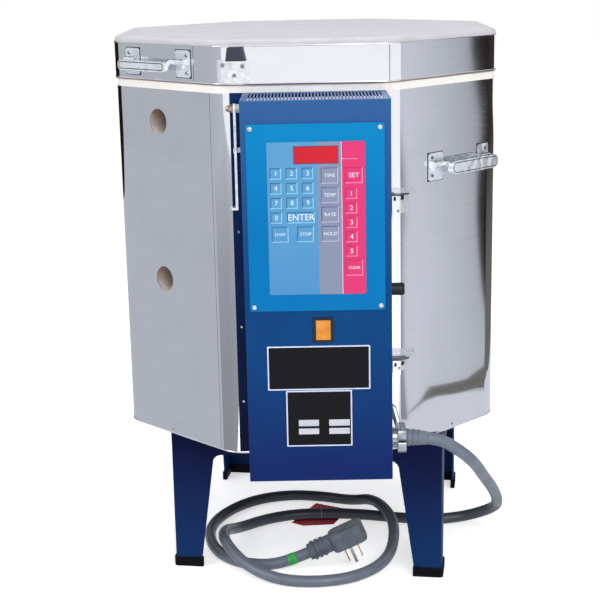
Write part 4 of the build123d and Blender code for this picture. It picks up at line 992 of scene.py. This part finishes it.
for body, places in screws.items():
    points = bpy.data.meshes.new(body + "_screw_points")
    points.from_pydata([seat for seat, _, _ in places], [], [])
    facing = points.attributes.new("facing", "FLOAT_VECTOR", "POINT")
    facing.data.foreach_set("vector", [v for _, way, _ in places for v in way])
    radius = points.attributes.new("head_radius", "FLOAT", "POINT")
    radius.data.foreach_set("value", [size for _, _, size in places])
    heads = grow_mesh(body + "_screws", points, screw_tree, {"Material": cast_zinc})
    keep_piece(heads, body)
print({body: len(places) for body, places in screws.items()})

# %% [markdown]
# Inside, each row of bricks holds a coiled resistance wire in two grooves. The
# solid model has a plain rod there. Here a tree walks along the rod's line
# and winds a thin wire round it: the line is cut into eight steps for each
# turn, each step is pushed out by the coil's radius, and a small square
# profile follows. Hundreds of turns stay light because the wire has few sides.

# %% Heating coils
coil_tree = bpy.data.node_groups.new("wound_coil", "GeometryNodeTree")
tree_input(coil_tree, "Line", "NodeSocketGeometry")
tree_input(coil_tree, "Coil Radius", "NodeSocketFloat", 0.0038)
tree_input(coil_tree, "Pitch", "NodeSocketFloat", 0.0055)
tree_input(coil_tree, "Wire Radius", "NodeSocketFloat", 0.0007)
tree_input(coil_tree, "Material", "NodeSocketMaterial")
coil_tree.interface.new_socket("Geometry", in_out="OUTPUT", socket_type="NodeSocketGeometry")
coil_in = node_in(coil_tree, "NodeGroupInput")
coil_out = node_in(coil_tree, "NodeGroupOutput")
STEPS_PER_TURN = 8
as_curve = node_in(coil_tree, "GeometryNodeMeshToCurve")
coil_tree.links.new(coil_in.outputs["Line"], as_curve.inputs[0])
step = node_in(coil_tree, "ShaderNodeMath", operation="DIVIDE")
coil_tree.links.new(coil_in.outputs["Pitch"], step.inputs[0])
step.inputs[1].default_value = STEPS_PER_TURN
evenly = node_in(coil_tree, "GeometryNodeResampleCurve", mode="LENGTH")
coil_tree.links.new(as_curve.outputs[0], evenly.inputs["Curve"])
coil_tree.links.new(step.outputs[0], evenly.inputs["Length"])
index = node_in(coil_tree, "GeometryNodeInputIndex")
turn_angle = node_in(coil_tree, "ShaderNodeMath", operation="MULTIPLY")
coil_tree.links.new(index.outputs[0], turn_angle.inputs[0])
turn_angle.inputs[1].default_value = 2 * math.pi / STEPS_PER_TURN
tangent = node_in(coil_tree, "GeometryNodeInputTangent")
normal = node_in(coil_tree, "GeometryNodeInputNormal")
sideways = node_in(coil_tree, "ShaderNodeVectorMath", operation="CROSS_PRODUCT")
coil_tree.links.new(tangent.outputs[0], sideways.inputs[0])
coil_tree.links.new(normal.outputs[0], sideways.inputs[1])
pushes = []
for trig, direction in (("COSINE", normal.outputs[0]), ("SINE", sideways.outputs[0])):
    share = node_in(coil_tree, "ShaderNodeMath", operation=trig)
    coil_tree.links.new(turn_angle.outputs[0], share.inputs[0])
    amount = node_in(coil_tree, "ShaderNodeMath", operation="MULTIPLY")
    coil_tree.links.new(share.outputs[0], amount.inputs[0])
    coil_tree.links.new(coil_in.outputs["Coil Radius"], amount.inputs[1])
    push = node_in(coil_tree, "ShaderNodeVectorMath", operation="SCALE")
    coil_tree.links.new(direction, push.inputs[0])
    coil_tree.links.new(amount.outputs[0], push.inputs["Scale"])
    pushes.append(push.outputs[0])
out_by = node_in(coil_tree, "ShaderNodeVectorMath", operation="ADD")
coil_tree.links.new(pushes[0], out_by.inputs[0])
coil_tree.links.new(pushes[1], out_by.inputs[1])
moved = node_in(coil_tree, "GeometryNodeSetPosition")
coil_tree.links.new(evenly.outputs[0], moved.inputs["Geometry"])
coil_tree.links.new(out_by.outputs[0], moved.inputs["Offset"])
profile = node_in(coil_tree, "GeometryNodeCurvePrimitiveCircle")
profile.inputs["Resolution"].default_value = 4
coil_tree.links.new(coil_in.outputs["Wire Radius"], profile.inputs["Radius"])
wound = node_in(coil_tree, "GeometryNodeCurveToMesh")
wound.inputs["Fill Caps"].default_value = True
coil_tree.links.new(moved.outputs[0], wound.inputs["Curve"])
coil_tree.links.new(profile.outputs[0], wound.inputs["Profile Curve"])
real = node_in(coil_tree, "GeometryNodeRealizeInstances")
coil_tree.links.new(wound.outputs[0], real.inputs[0])
painted = node_in(coil_tree, "GeometryNodeSetMaterial")
coil_tree.links.new(real.outputs[0], painted.inputs["Geometry"])
coil_tree.links.new(coil_in.outputs["Material"], painted.inputs["Material"])
coil_tree.links.new(painted.outputs[0], coil_out.inputs[0])

ROW_MIDDLES_MM = [366.65, 480.95, 595.25, 709.55]
GROOVE_OFFSET_MM = 37
COIL_APOTHEM_MM = 230.2
LOWER_TAIL_X, CROSSOVER_X, UPPER_TAIL_X = -20, 28, 44


def element_turn(height, start_x, end_x):
    """One turn round the chamber, clockwise from above, from and to the front wall."""
    reach = COIL_APOTHEM_MM / math.cos(math.radians(22.5))
    turn = [(start_x, -COIL_APOTHEM_MM, height)]
    for corner in range(8):
        angle = math.radians(-112.5 - 45 * corner)
        turn.append((reach * math.cos(angle), reach * math.sin(angle), height))
    turn.append((end_x, -COIL_APOTHEM_MM, height))
    return turn


def tube_along(bm, path, radii, sides=8):
    """Closed round tube through a list of points, with a radius at each."""
    rings = []
    for number, point in enumerate(path):
        before = path[max(number - 1, 0)]
        after = path[min(number + 1, len(path) - 1)]
        way = (Vector(after) - Vector(before)).normalized()
        guide = Vector((0, 0, 1)) if abs(way.z) < 0.9 else Vector((1, 0, 0))
        right = way.cross(guide).normalized()
        up = right.cross(way)
        ring = []
        for side in range(sides):
            angle = 2 * math.pi * side / sides
            offset = right * math.cos(angle) + up * math.sin(angle)
            ring.append(bm.verts.new(Vector(point) + offset * radii[number]))
        rings.append(ring)
    for near, far in zip(rings, rings[1:]):
        for side in range(sides):
            bm.faces.new((near[side], near[side - 1], far[side - 1], far[side]))
    bm.faces.new(rings[0])
    bm.faces.new(rings[-1][::-1])


def piece_from(name, bm, material, body, smooth=False):
    """Close a bmesh into a piece that rides on a body."""
    bmesh.ops.recalc_face_normals(bm, faces=bm.faces)
    mesh = bpy.data.meshes.new(name)
    bm.to_mesh(mesh)
    bm.free()
    mesh.materials.append(material)
    for face in mesh.polygons:
        face.use_smooth = smooth
    return keep_piece(mesh_piece(name, mesh), body)


coil_line = bpy.data.meshes.new("coil_lines")
line_points, line_edges = [], []
for middle in ROW_MIDDLES_MM:
    turn = element_turn(middle - GROOVE_OFFSET_MM, LOWER_TAIL_X, CROSSOVER_X)
    turn += element_turn(middle + GROOVE_OFFSET_MM, CROSSOVER_X, UPPER_TAIL_X)
    first = len(line_points)
    line_points += [tuple(v * MM for v in point) for point in turn]
    line_edges += [(first + i, first + i + 1) for i in range(len(turn) - 1)]
coil_line.from_pydata(line_points, line_edges, [])
coils = grow_mesh("heating_coils", coil_line, coil_tree, {"Material": wire})
keep_piece(coils, "kiln")
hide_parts("heating_elements")

tails = bmesh.new()
for middle in ROW_MIDDLES_MM:
    for x, height in ((LOWER_TAIL_X, middle - GROOVE_OFFSET_MM), (UPPER_TAIL_X, middle + GROOVE_OFFSET_MM)):
        ends = [Vector((x, y, height)) * MM for y in (-COIL_APOTHEM_MM, -260, -290, -318)]
        tube_along(tails, ends, [0.0024] * 4, 10)
piece_from("element_tails", tails, wire, "kiln", smooth=True)

# %% [markdown]
# The panel is printed and embossed film. Every key has a dark line along its top and left and a pale line
# along its right and foot: painted shade and a painted highlight of the pressed edge, which make it look
# pressed in. The lines are thin frames of real thickness just proud of the film. The digits are text turned
# into mesh, one mesh for all of them.

# %% Blocks, rounded plates and text
def block(bm, x_span, y_span, z_span):
    """Box between two limits on each axis, in millimetres."""
    corners = [bm.verts.new(Vector((x, y, z)) * MM)
               for x in x_span for y in y_span for z in z_span]
    for face in ((0, 1, 3, 2), (4, 6, 7, 5), (0, 4, 5, 1), (2, 3, 7, 6), (0, 2, 6, 4), (1, 5, 7, 3)):
        bm.faces.new([corners[number] for number in face])


def rounded_outline(x_span, z_span, corner, steps=4):
    """Rounded rectangle in X and Z, as a list of points."""
    outline = []
    for index, (x, z) in enumerate(((x_span[1], z_span[1]), (x_span[0], z_span[1]),
                                    (x_span[0], z_span[0]), (x_span[1], z_span[0]))):
        middle_x = x - corner if x == x_span[1] else x + corner
        middle_z = z - corner if z == z_span[1] else z + corner
        for step_number in range(steps + 1):
            angle = math.radians(90 * index + 90 * step_number / steps)
            outline.append((middle_x + corner * math.cos(angle), middle_z + corner * math.sin(angle)))
    return outline


def rounded_plate(bm, x_span, z_span, y_back, y_front, corner, edge=0.0):
    """Thin plate with round corners, its front rim sloped in by the edge's width."""
    inner = ([x_span[0] + edge, x_span[1] - edge], [z_span[0] + edge, z_span[1] - edge])
    layers = [(y_back, rounded_outline(x_span, z_span, corner)),
              (y_front + edge, rounded_outline(x_span, z_span, corner)),
              (y_front, rounded_outline(*inner, max(corner - edge, 0.05)))]
    rings = [[bm.verts.new(Vector((x, y, z)) * MM) for x, z in outline] for y, outline in layers]
    for near, far in zip(rings, rings[1:]):
        for number in range(len(near)):
            bm.faces.new((near[number - 1], near[number], far[number], far[number - 1]))
    bm.faces.new(rings[0][::-1])
    bm.faces.new(rings[-1])


def legend(words, x, z, height, material_name="legend"):
    """Mesh of a short word or digit, centred at a place and facing the viewer."""
    curve = bpy.data.curves.new(material_name, "FONT")
    curve.body = words
    curve.align_x = "CENTER"
    curve.align_y = "CENTER"
    curve.size = height * MM * 1.4
    curve.extrude = 0.06 * MM
    curve.resolution_u = 3
    holder = bpy.data.objects.new(material_name, curve)
    collection.objects.link(holder)
    evaluated = holder.evaluated_get(bpy.context.evaluated_depsgraph_get())
    mesh = bpy.data.meshes.new_from_object(evaluated)
    bpy.data.objects.remove(holder)
    mesh.transform(Matrix.Translation(Vector((x, KEY_TOP_Y, z)) * MM)
                   @ Matrix.Rotation(math.radians(90), 4, "X"))
    return mesh


KEY_TOP_Y = -409.1
print("rounded corner points", len(rounded_outline((0, 10), (0, 10), 2)))

# %% Keys
digit_columns = (-42.25, -21.0, 0.3)
digit_rows = [660.75 - 19.8 * line for line in range(4)]
digit_keys = [(column, row, 15.0, 14.7, str(3 * line + place + 1))
              for line, row in enumerate(digit_rows[:3])
              for place, column in enumerate(digit_columns)]
digit_keys.append((digit_columns[0], digit_rows[3], 15.0, 14.7, "0"))
word_keys = [(-9.4, digit_rows[3], 36.6, 14.7, "ENTER"),
             (-37.7, 578.6, 22.2, 20.8, "START"), (-3.8, 578.6, 22.0, 20.8, "STOP")]
mauve_keys = [(29.5, 657.3 - 26.2 * line, 23.0, 21.0, words)
              for line, words in enumerate(("TIME", "TEMP", "RATE", "HOLD"))]
pink_keys = [(61.85, 657.15, 23.0, 21.0, "SET")]
pink_keys += [(58.1, 632.8 - 19.6 * line, 15.2, 14.4, str(line + 1)) for line in range(5)]
pink_keys.append((61.25, 531.7, 23.0, 21.4, "CLEAR"))
all_keys = digit_keys + word_keys + mauve_keys + pink_keys


def print_or_shade_finish(name, colour, roughness=0.35):
    """Printing ink, or a painted shade or highlight line: one colour with a slightly uneven gloss and body.
    """
    near = tuple(min(1.0, value * 0.9) for value in colour)
    return layered(name, colour, near, roughness, roughness + 0.1, tone_mm=6,
                   grain_mm=0.4, grain_depth_mm=0.01)


LINE = 0.9


def key_lines(keys, dark, pale, name):
    """Painted shade line on top and left, painted highlight line on the right and foot of every key."""
    shade, shine = bmesh.new(), bmesh.new()
    y_span = (KEY_TOP_Y - 0.12, KEY_TOP_Y + 0.3)
    for x, z, width, height, _ in keys:
        left, right = x - width / 2, x + width / 2
        low, high = z - height / 2, z + height / 2
        block(shade, (left, right - LINE), y_span, (high - LINE, high))
        block(shade, (left, left + LINE), y_span, (low + LINE, high - LINE))
        block(shine, (left, right), y_span, (low, low + LINE))
        block(shine, (right - LINE, right), y_span, (low + LINE, high))
    piece_from(name + "_shade_lines", shade, dark, "kiln")
    piece_from(name + "_shine_lines", shine, pale, "kiln")


blue_key_painted_highlight = print_or_shade_finish("blue_key_painted_highlight", seen(158, 218, 250))
key_lines(digit_keys + word_keys, print_or_shade_finish("blue_key_painted_shade", seen(28, 82, 146)), blue_key_painted_highlight, "blue_keys")
key_lines(mauve_keys, print_or_shade_finish("mauve_key_painted_shade", seen(84, 84, 132)),
          print_or_shade_finish("mauve_key_painted_highlight", seen(200, 196, 230)), "mauve_keys")
key_lines(pink_keys, print_or_shade_finish("pink_key_painted_shade", seen(184, 18, 74)),
          print_or_shade_finish("pink_rule_ink_and_key_highlight", seen(255, 160, 196)), "pink_keys")

words_mesh = bmesh.new()
for x, z, width, height, words in all_keys:
    tall = 6.4 if len(words) == 1 else min(7.6, 0.95 * (width - 3) / len(words))
    if words == "ENTER":
        tall = 8.6
    words_mesh.from_mesh(legend(words, x + 0.2, z, tall))
piece_from("key_legends", words_mesh, print_or_shade_finish("white_ink", seen(232, 240, 250)), "kiln")
print("keys", len(all_keys))

# %% [markdown]
# Round the display runs a thin dark frame, and a hairline halves the window.
# A short pale rule points from the display to the pink column. The place of a
# badge near the foot of the film stays bare.

# %% Display frame and rule
frame_ink = print_or_shade_finish("dark_frame_ink", seen(70, 44, 92))
frame_lines = bmesh.new()
left, right, low, high = -17.1, 40.7, 674.1, 696.1
front = (-408.75, -408.3)
block(frame_lines, (left - 0.9, right + 0.9), front, (high, high + 0.9))
block(frame_lines, (left - 0.9, right + 0.9), front, (low - 0.9, low))
block(frame_lines, (left - 0.9, left), front, (low, high))
block(frame_lines, (right, right + 0.9), front, (low, high))
block(frame_lines, (11.2, 11.6), (-408.62, -408.4), (low, high))
piece_from("display_frame", frame_lines, frame_ink, "kiln")
rule = bmesh.new()
block(rule, (45.5, 66.6), (-408.62, -408.4), (678.9, 679.7))
piece_from("panel_rule", rule, bpy.data.materials["pink_rule_ink_and_key_highlight"], "kiln")

# %% [markdown]
# Two small plates are fixed under the switch. They are anodised black with a
# bare bright rim. The lower one has four bright fields, as a plate has for
# values to be stamped in. Nothing is written on either.

# %% Blank plates under the switch
plate_rim = layered("plate_rim_paint", seen(214, 224, 246), seen(200, 210, 236), 0.3, 0.4,
                    tone_mm=6, grain_mm=0.6, grain_depth_mm=0.01)
plate_black = layered("anodised_black", seen(8, 8, 12), seen(15, 15, 20), 0.4, 0.5,
                      grain_mm=0.5, grain_depth_mm=0.01, streaks=True, shine=0.12)
plate_fields = layered("bare_plate_metal", seen(208, 210, 218), seen(180, 184, 196), 0.3, 0.45,
                       tone_mm=4, grain_mm=0.5, grain_depth_mm=0.01, streaks=True)
rims, faces, fields = bmesh.new(), bmesh.new(), bmesh.new()
for x_span, z_span in (((-59.4, 81.7), (359.8, 422.6)), ((-34.8, 56.1), (277.9, 358.9))):
    seat_y = -406.5
    rounded_plate(rims, x_span, z_span, seat_y + 0.1, seat_y - 0.5, 1.2, 0.15)
    inner_x = (x_span[0] + 1.9, x_span[1] - 1.9)
    inner_z = (z_span[0] + 1.9, z_span[1] - 1.9)
    rounded_plate(faces, inner_x, inner_z, seat_y - 0.4, seat_y - 0.62, 0.8, 0.05)
for x_span in ((-18.0, 9.9), (24.1, 52.6)):
    for z_span in ((307.5, 316.6), (295.6, 304.1)):
        rounded_plate(fields, x_span, z_span, -407.0, -407.2, 0.5, 0.05)
piece_from("blank_plate_rims", rims, plate_rim, "kiln")
piece_from("blank_plate_faces", faces, plate_black, "kiln")
piece_from("blank_plate_fields", fields, plate_fields, "kiln")

# %% [markdown]
# Sheet steel never ends in a bare cut edge. The band and the jacket have a
# small rolled hem, and where the ends of each sheet meet there is an upright
# seam. A ring that follows the octagon is built from the same bend radius as
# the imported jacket, so it hugs the wall all the way round.

# %% Hems and seams
JACKET_APOTHEM_MM = 286.5
BEND_RADIUS_MM = 46.0


def octagon_line(apothem_mm, steps=6):
    """Points round the octagon with its bends, anticlockwise from above."""
    bend = BEND_RADIUS_MM + apothem_mm - JACKET_APOTHEM_MM
    reach = (apothem_mm - bend) / math.cos(math.radians(22.5))
    line = []
    for corner in range(8):
        middle = math.radians(22.5 + 45 * corner)
        for step_number in range(steps + 1):
            angle = middle + math.radians(-22.5 + 45 * step_number / steps)
            line.append((reach * math.cos(middle) + bend * math.cos(angle),
                         reach * math.sin(middle) + bend * math.sin(angle)))
    return line


def octagon_ring(bm, profile):
    """Ring round the octagon whose section is a list of apothem and height pairs."""
    rings = [[bm.verts.new(Vector((x, y, height)) * MM) for x, y in octagon_line(apothem)]
             for apothem, height in profile]
    for near, far in zip(rings, rings[1:] + rings[:1]):
        for number in range(len(near)):
            bm.faces.new((near[number - 1], near[number], far[number], far[number - 1]))


lid_hems, jacket_hems, joint_line_strip = bmesh.new(), bmesh.new(), bmesh.new()
octagon_ring(lid_hems, [(287.9, 768.5), (288.9, 768.7), (289.0, 769.6), (288.7, 770.3), (287.9, 770.4)])
octagon_ring(lid_hems, [(287.9, 820.2), (288.6, 820.3), (288.7, 821.2), (288.3, 821.9), (287.3, 821.9)])
octagon_ring(jacket_hems, [(286.3, 226.1), (287.2, 226.2), (287.3, 227.4), (286.3, 227.9)])
octagon_ring(joint_line_strip, [(287.2, 767.1), (287.9, 767.2), (287.9, 768.4), (287.2, 768.5)])
piece_from("lid_band_hems", lid_hems, stainless, "lid", smooth=True)
piece_from("jacket_foot_hem", jacket_hems, stainless, "kiln", smooth=True)
# A thin tan line runs round the kiln just under the lid band.
joint_line_strip_tan = layered("tan_joint_line", seen(158, 118, 98), seen(134, 96, 80), 0.7, 0.85,
                     tone_mm=20, grain_mm=0.6, grain_depth_mm=0.05)
piece_from("lid_joint_line", joint_line_strip, joint_line_strip_tan, "lid")


def wall_strip(bm, wall, along, heights, width, apothem, proud):
    """Upright strip on a wall: its place along the wall, its heights and its width."""
    out, ends = wall_facing(wall), []
    sideways = Vector((-out.y, out.x, 0))
    for height in heights:
        for offset in (-width / 2, width / 2):
            for depth in (apothem - 0.2, apothem + proud):
                place = out * depth + sideways * (along + offset) + Vector((0, 0, height))
                ends.append(bm.verts.new(place * MM))
    for face in ((0, 1, 3, 2), (4, 6, 7, 5), (0, 4, 5, 1), (2, 3, 7, 6), (0, 2, 6, 4), (1, 5, 7, 3)):
        bm.faces.new([ends[number] for number in face])


def slot_mark(bm, place, facing, width, height):
    """Square punched slot: a thin black plate let into a sheet, its black a painted shade for the dark
    inside the slot.
    """
    out = Vector(facing).normalized()
    sideways, seat = Vector((-out.y, out.x, 0)), seat_on("box_stays", place, facing)
    ends = [seat + out * depth + sideways * across_by + Vector((0, 0, rise))
            for rise in (-height / 2, height / 2) for across_by in (-width / 2, width / 2)
            for depth in (-0.0003, 0.00025)]
    ends = [bm.verts.new(end) for end in ends]
    for face in ((0, 1, 3, 2), (4, 6, 7, 5), (0, 4, 5, 1), (2, 3, 7, 6), (0, 2, 6, 4), (1, 5, 7, 3)):
        bm.faces.new([ends[number] for number in face])


slots = bmesh.new()
for z in (602.5, 356.5):
    slot_mark(slots, (0.1235, -0.2816, z * MM), wall_facing(-60), 4.5 * MM, 5.5 * MM)
    slot_mark(slots, (0.1350, -0.2723, z * MM), wall_facing(RIGHT), 6.0 * MM, 6.0 * MM)
bmesh.ops.recalc_face_normals(slots, faces=slots.faces)
piece_from("box_stay_slots", slots, black, "kiln")
# Painted light: a pale sheet inside the box top, under its vent slots, standing in for light seen through
# them.
screen = bmesh.new()
block(screen, (-85, 109), (-401, -345), (754.4, 755.2))
vent_painted_light = layered("bright_vent_painted_light", seen(226, 224, 236), seen(206, 204, 220), 0.4, 0.5,
                      tone_mm=3, grain_mm=0.8, grain_depth_mm=0.03)
piece_from("vent_painted_light", screen, vent_painted_light, "kiln")

# Painted shade: black plates a little larger than each handle bracket, standing in for the dark outline
# round the brackets.
bracket_shade_rims = bmesh.new()
lid_bracket_shade_rims = bmesh.new()
for wall in (RIGHT, REAR_LEFT):
    for left, right, low, high in ((-39.0, -6.6, 618.7, 659.0), (74.7, 100.0, 624.7, 661.0)):
        wall_strip(bracket_shade_rims, wall, (left + right) / 2, (low - 1, high + 1), right - left + 2, 286.5, 0.4)
for left, right, low, high in ((-87.0, -56.0, 775.5, 814.0), (27.0, 58.5, 775.5, 814.0)):
    wall_strip(lid_bracket_shade_rims, LEFT, (left + right) / 2, (low - 1, high + 1), right - left + 2, 288.1, 0.4)
def grip_groove_shade(name, wall, body, span, up, height, apothem):
    """Black strip that follows the edge of a grip's front face: painted shade of a pressed groove."""
    out = wall_facing(wall)
    sideways = Vector((-out.y, out.x, 0))
    line, rings = bmesh.new(), []
    for inset, depth in ((2.2, 21.8), (2.2, 22.1), (3.3, 22.1), (3.3, 21.8)):
        radius, ring = height / 2 - inset, []
        for centre, first in ((span[1] - height / 2, -90), (span[0] + height / 2, 90)):
            for turn in range(0, 181, 20):
                angle = math.radians(first + turn)
                along, rise = centre + radius * math.cos(angle), up + radius * math.sin(angle)
                place = out * (apothem + depth) + sideways * along + Vector((0, 0, rise))
                ring.append(line.verts.new(place * MM))
        rings.append(ring)
    for near, far in zip(rings, rings[1:] + rings[:1]):
        for number in range(len(near)):
            line.faces.new((near[number - 1], near[number], far[number], far[number - 1]))
    bmesh.ops.recalc_face_normals(line, faces=line.faces)
    return piece_from(name, line, black, body)


grip_groove_shade("right_grip_groove_shade", RIGHT, "right_handle", (-9.5, 99.0), 636.0, 20.0, 286.5)
grip_groove_shade("left_grip_groove_shade", REAR_LEFT, "left_handle", (-9.5, 99.0), 636.0, 20.0, 286.5)
grip_groove_shade("lid_grip_groove_shade", LEFT, "lid_handle", (-82.0, 25.0), 790.5, 15.0, 288.1)
for mesh_in_work in (bracket_shade_rims, lid_bracket_shade_rims):
    bmesh.ops.recalc_face_normals(mesh_in_work, faces=mesh_in_work.faces)
piece_from("handle_bracket_shade_rims", bracket_shade_rims, black, "kiln")
piece_from("lid_handle_bracket_shade_rims", lid_bracket_shade_rims, black, "lid")

seam_dark = layered("seam_shadow", seen(70, 68, 70), seen(52, 50, 52), 0.5, 0.7,
                    tone_mm=8, grain_mm=0.5, grain_depth_mm=0.02)
lid_seams, jacket_seams = bmesh.new(), bmesh.new()
wall_strip(lid_seams, LEFT, 63.8, (770.5, 820.1), 0.7, 288.1, 0.12)
wall_strip(lid_seams, REAR_LEFT, 60.0, (770.5, 820.1), 0.7, 288.1, 0.12)
wall_strip(jacket_seams, LEFT, 94.0, (228, 755.5), 0.45, 286.5, 0.1)
wall_strip(jacket_seams, REAR_LEFT, -90.0, (228, 755.5), 0.7, 286.5, 0.12)
block(lid_seams, (116.9, 117.7), (-285.0, -284.0), (771, 819))
piece_from("lid_band_seams", lid_seams, seam_dark, "lid")
piece_from("jacket_seams", jacket_seams, seam_dark, "kiln")
print("seams done")

# %% [markdown]
# Three small things follow the cord: a tapered rubber boot where it leaves the
# clamp, a green band of tape near the plug, and the wire tie of the red tag.
# Their paths are read back from the cord's own curve, so they sit on it
# exactly. A copy of the curve without its thickness gives the points.

# %% Boot, tape and tie on the cord
bare_curve = cord_curve.copy()
bare_curve.bevel_depth = 0
bare_curve.resolution_u = 24
bare = bpy.data.objects.new("bare_cord_line", bare_curve)
collection.objects.link(bare)
bare_mesh = bpy.data.meshes.new_from_object(
    bare.evaluated_get(bpy.context.evaluated_depsgraph_get())
)
cord_line_points = [v.co.copy() for v in bare_mesh.vertices]
bpy.data.objects.remove(bare)
travelled = [0.0]
for near, far in zip(cord_line_points, cord_line_points[1:]):
    travelled.append(travelled[-1] + (far - near).length)
print("cord line", len(cord_line_points), "points,", round(travelled[-1], 4), "m")


def along_cord(distance):
    """Point of the cord's line at a distance from its start."""
    for number, reached in enumerate(travelled[1:], 1):
        if reached >= distance:
            share = (distance - travelled[number - 1]) / max(reached - travelled[number - 1], 1e-9)
            return cord_line_points[number - 1].lerp(cord_line_points[number], share)
    return cord_line_points[-1]


boot = bmesh.new()
boot_profile = [(0.0002, 12.6), (0.006, 12.4), (0.0065, 11.4), (0.009, 11.4), (0.0095, 12.0),
                (0.013, 11.8), (0.0135, 10.9), (0.016, 10.9), (0.0165, 11.4), (0.020, 11.2),
                (0.0205, 10.4), (0.028, 9.9), (0.032, 9.3)]
tube_along(boot, [along_cord(distance) for distance, _ in boot_profile],
           [radius * MM for _, radius in boot_profile], 28)
piece_from("cord_boot", boot, cord_rubber, "kiln", smooth=True)

tape = bmesh.new()
tape_end = travelled[-1] - 0.022
tape_places = [tape_end - 0.014 + 0.002 * number for number in range(8)]
tape_radii = [9.05] + [9.45] * 6 + [9.05]
tube_along(tape, [along_cord(distance) for distance in tape_places],
           [radius * MM for radius in tape_radii], 28)
green_tape = layered("green_tape", seen(60, 190, 86), seen(40, 160, 66), 0.4, 0.5,
                     tone_mm=5, grain_mm=0.6, grain_depth_mm=0.02)
piece_from("green_tape_band", tape, green_tape, "kiln", smooth=True)

tie = bmesh.new()
tie_centre = min(cord_line_points, key=lambda p: abs(p.x - 0.012) + abs(p.y - 0.003) * 4)
tie_path = []
for step_number in range(13):
    angle = math.radians(-38 + 256 * step_number / 12)
    tie_path.append(tie_centre + Vector((0.0, math.cos(angle), math.sin(angle))) * 0.0102)
tube_along(tie, tie_path, [0.0008] * 13, 8)
tie_tan = layered("tie_wire", seen(150, 140, 128), seen(120, 108, 98), 0.4, 0.6,
                  metallic=0.4, tone_mm=4, grain_mm=0.5, grain_depth_mm=0.02)
piece_from("tag_tie", tie, tie_tan, "kiln", smooth=True)
print("tie at", tie_centre)
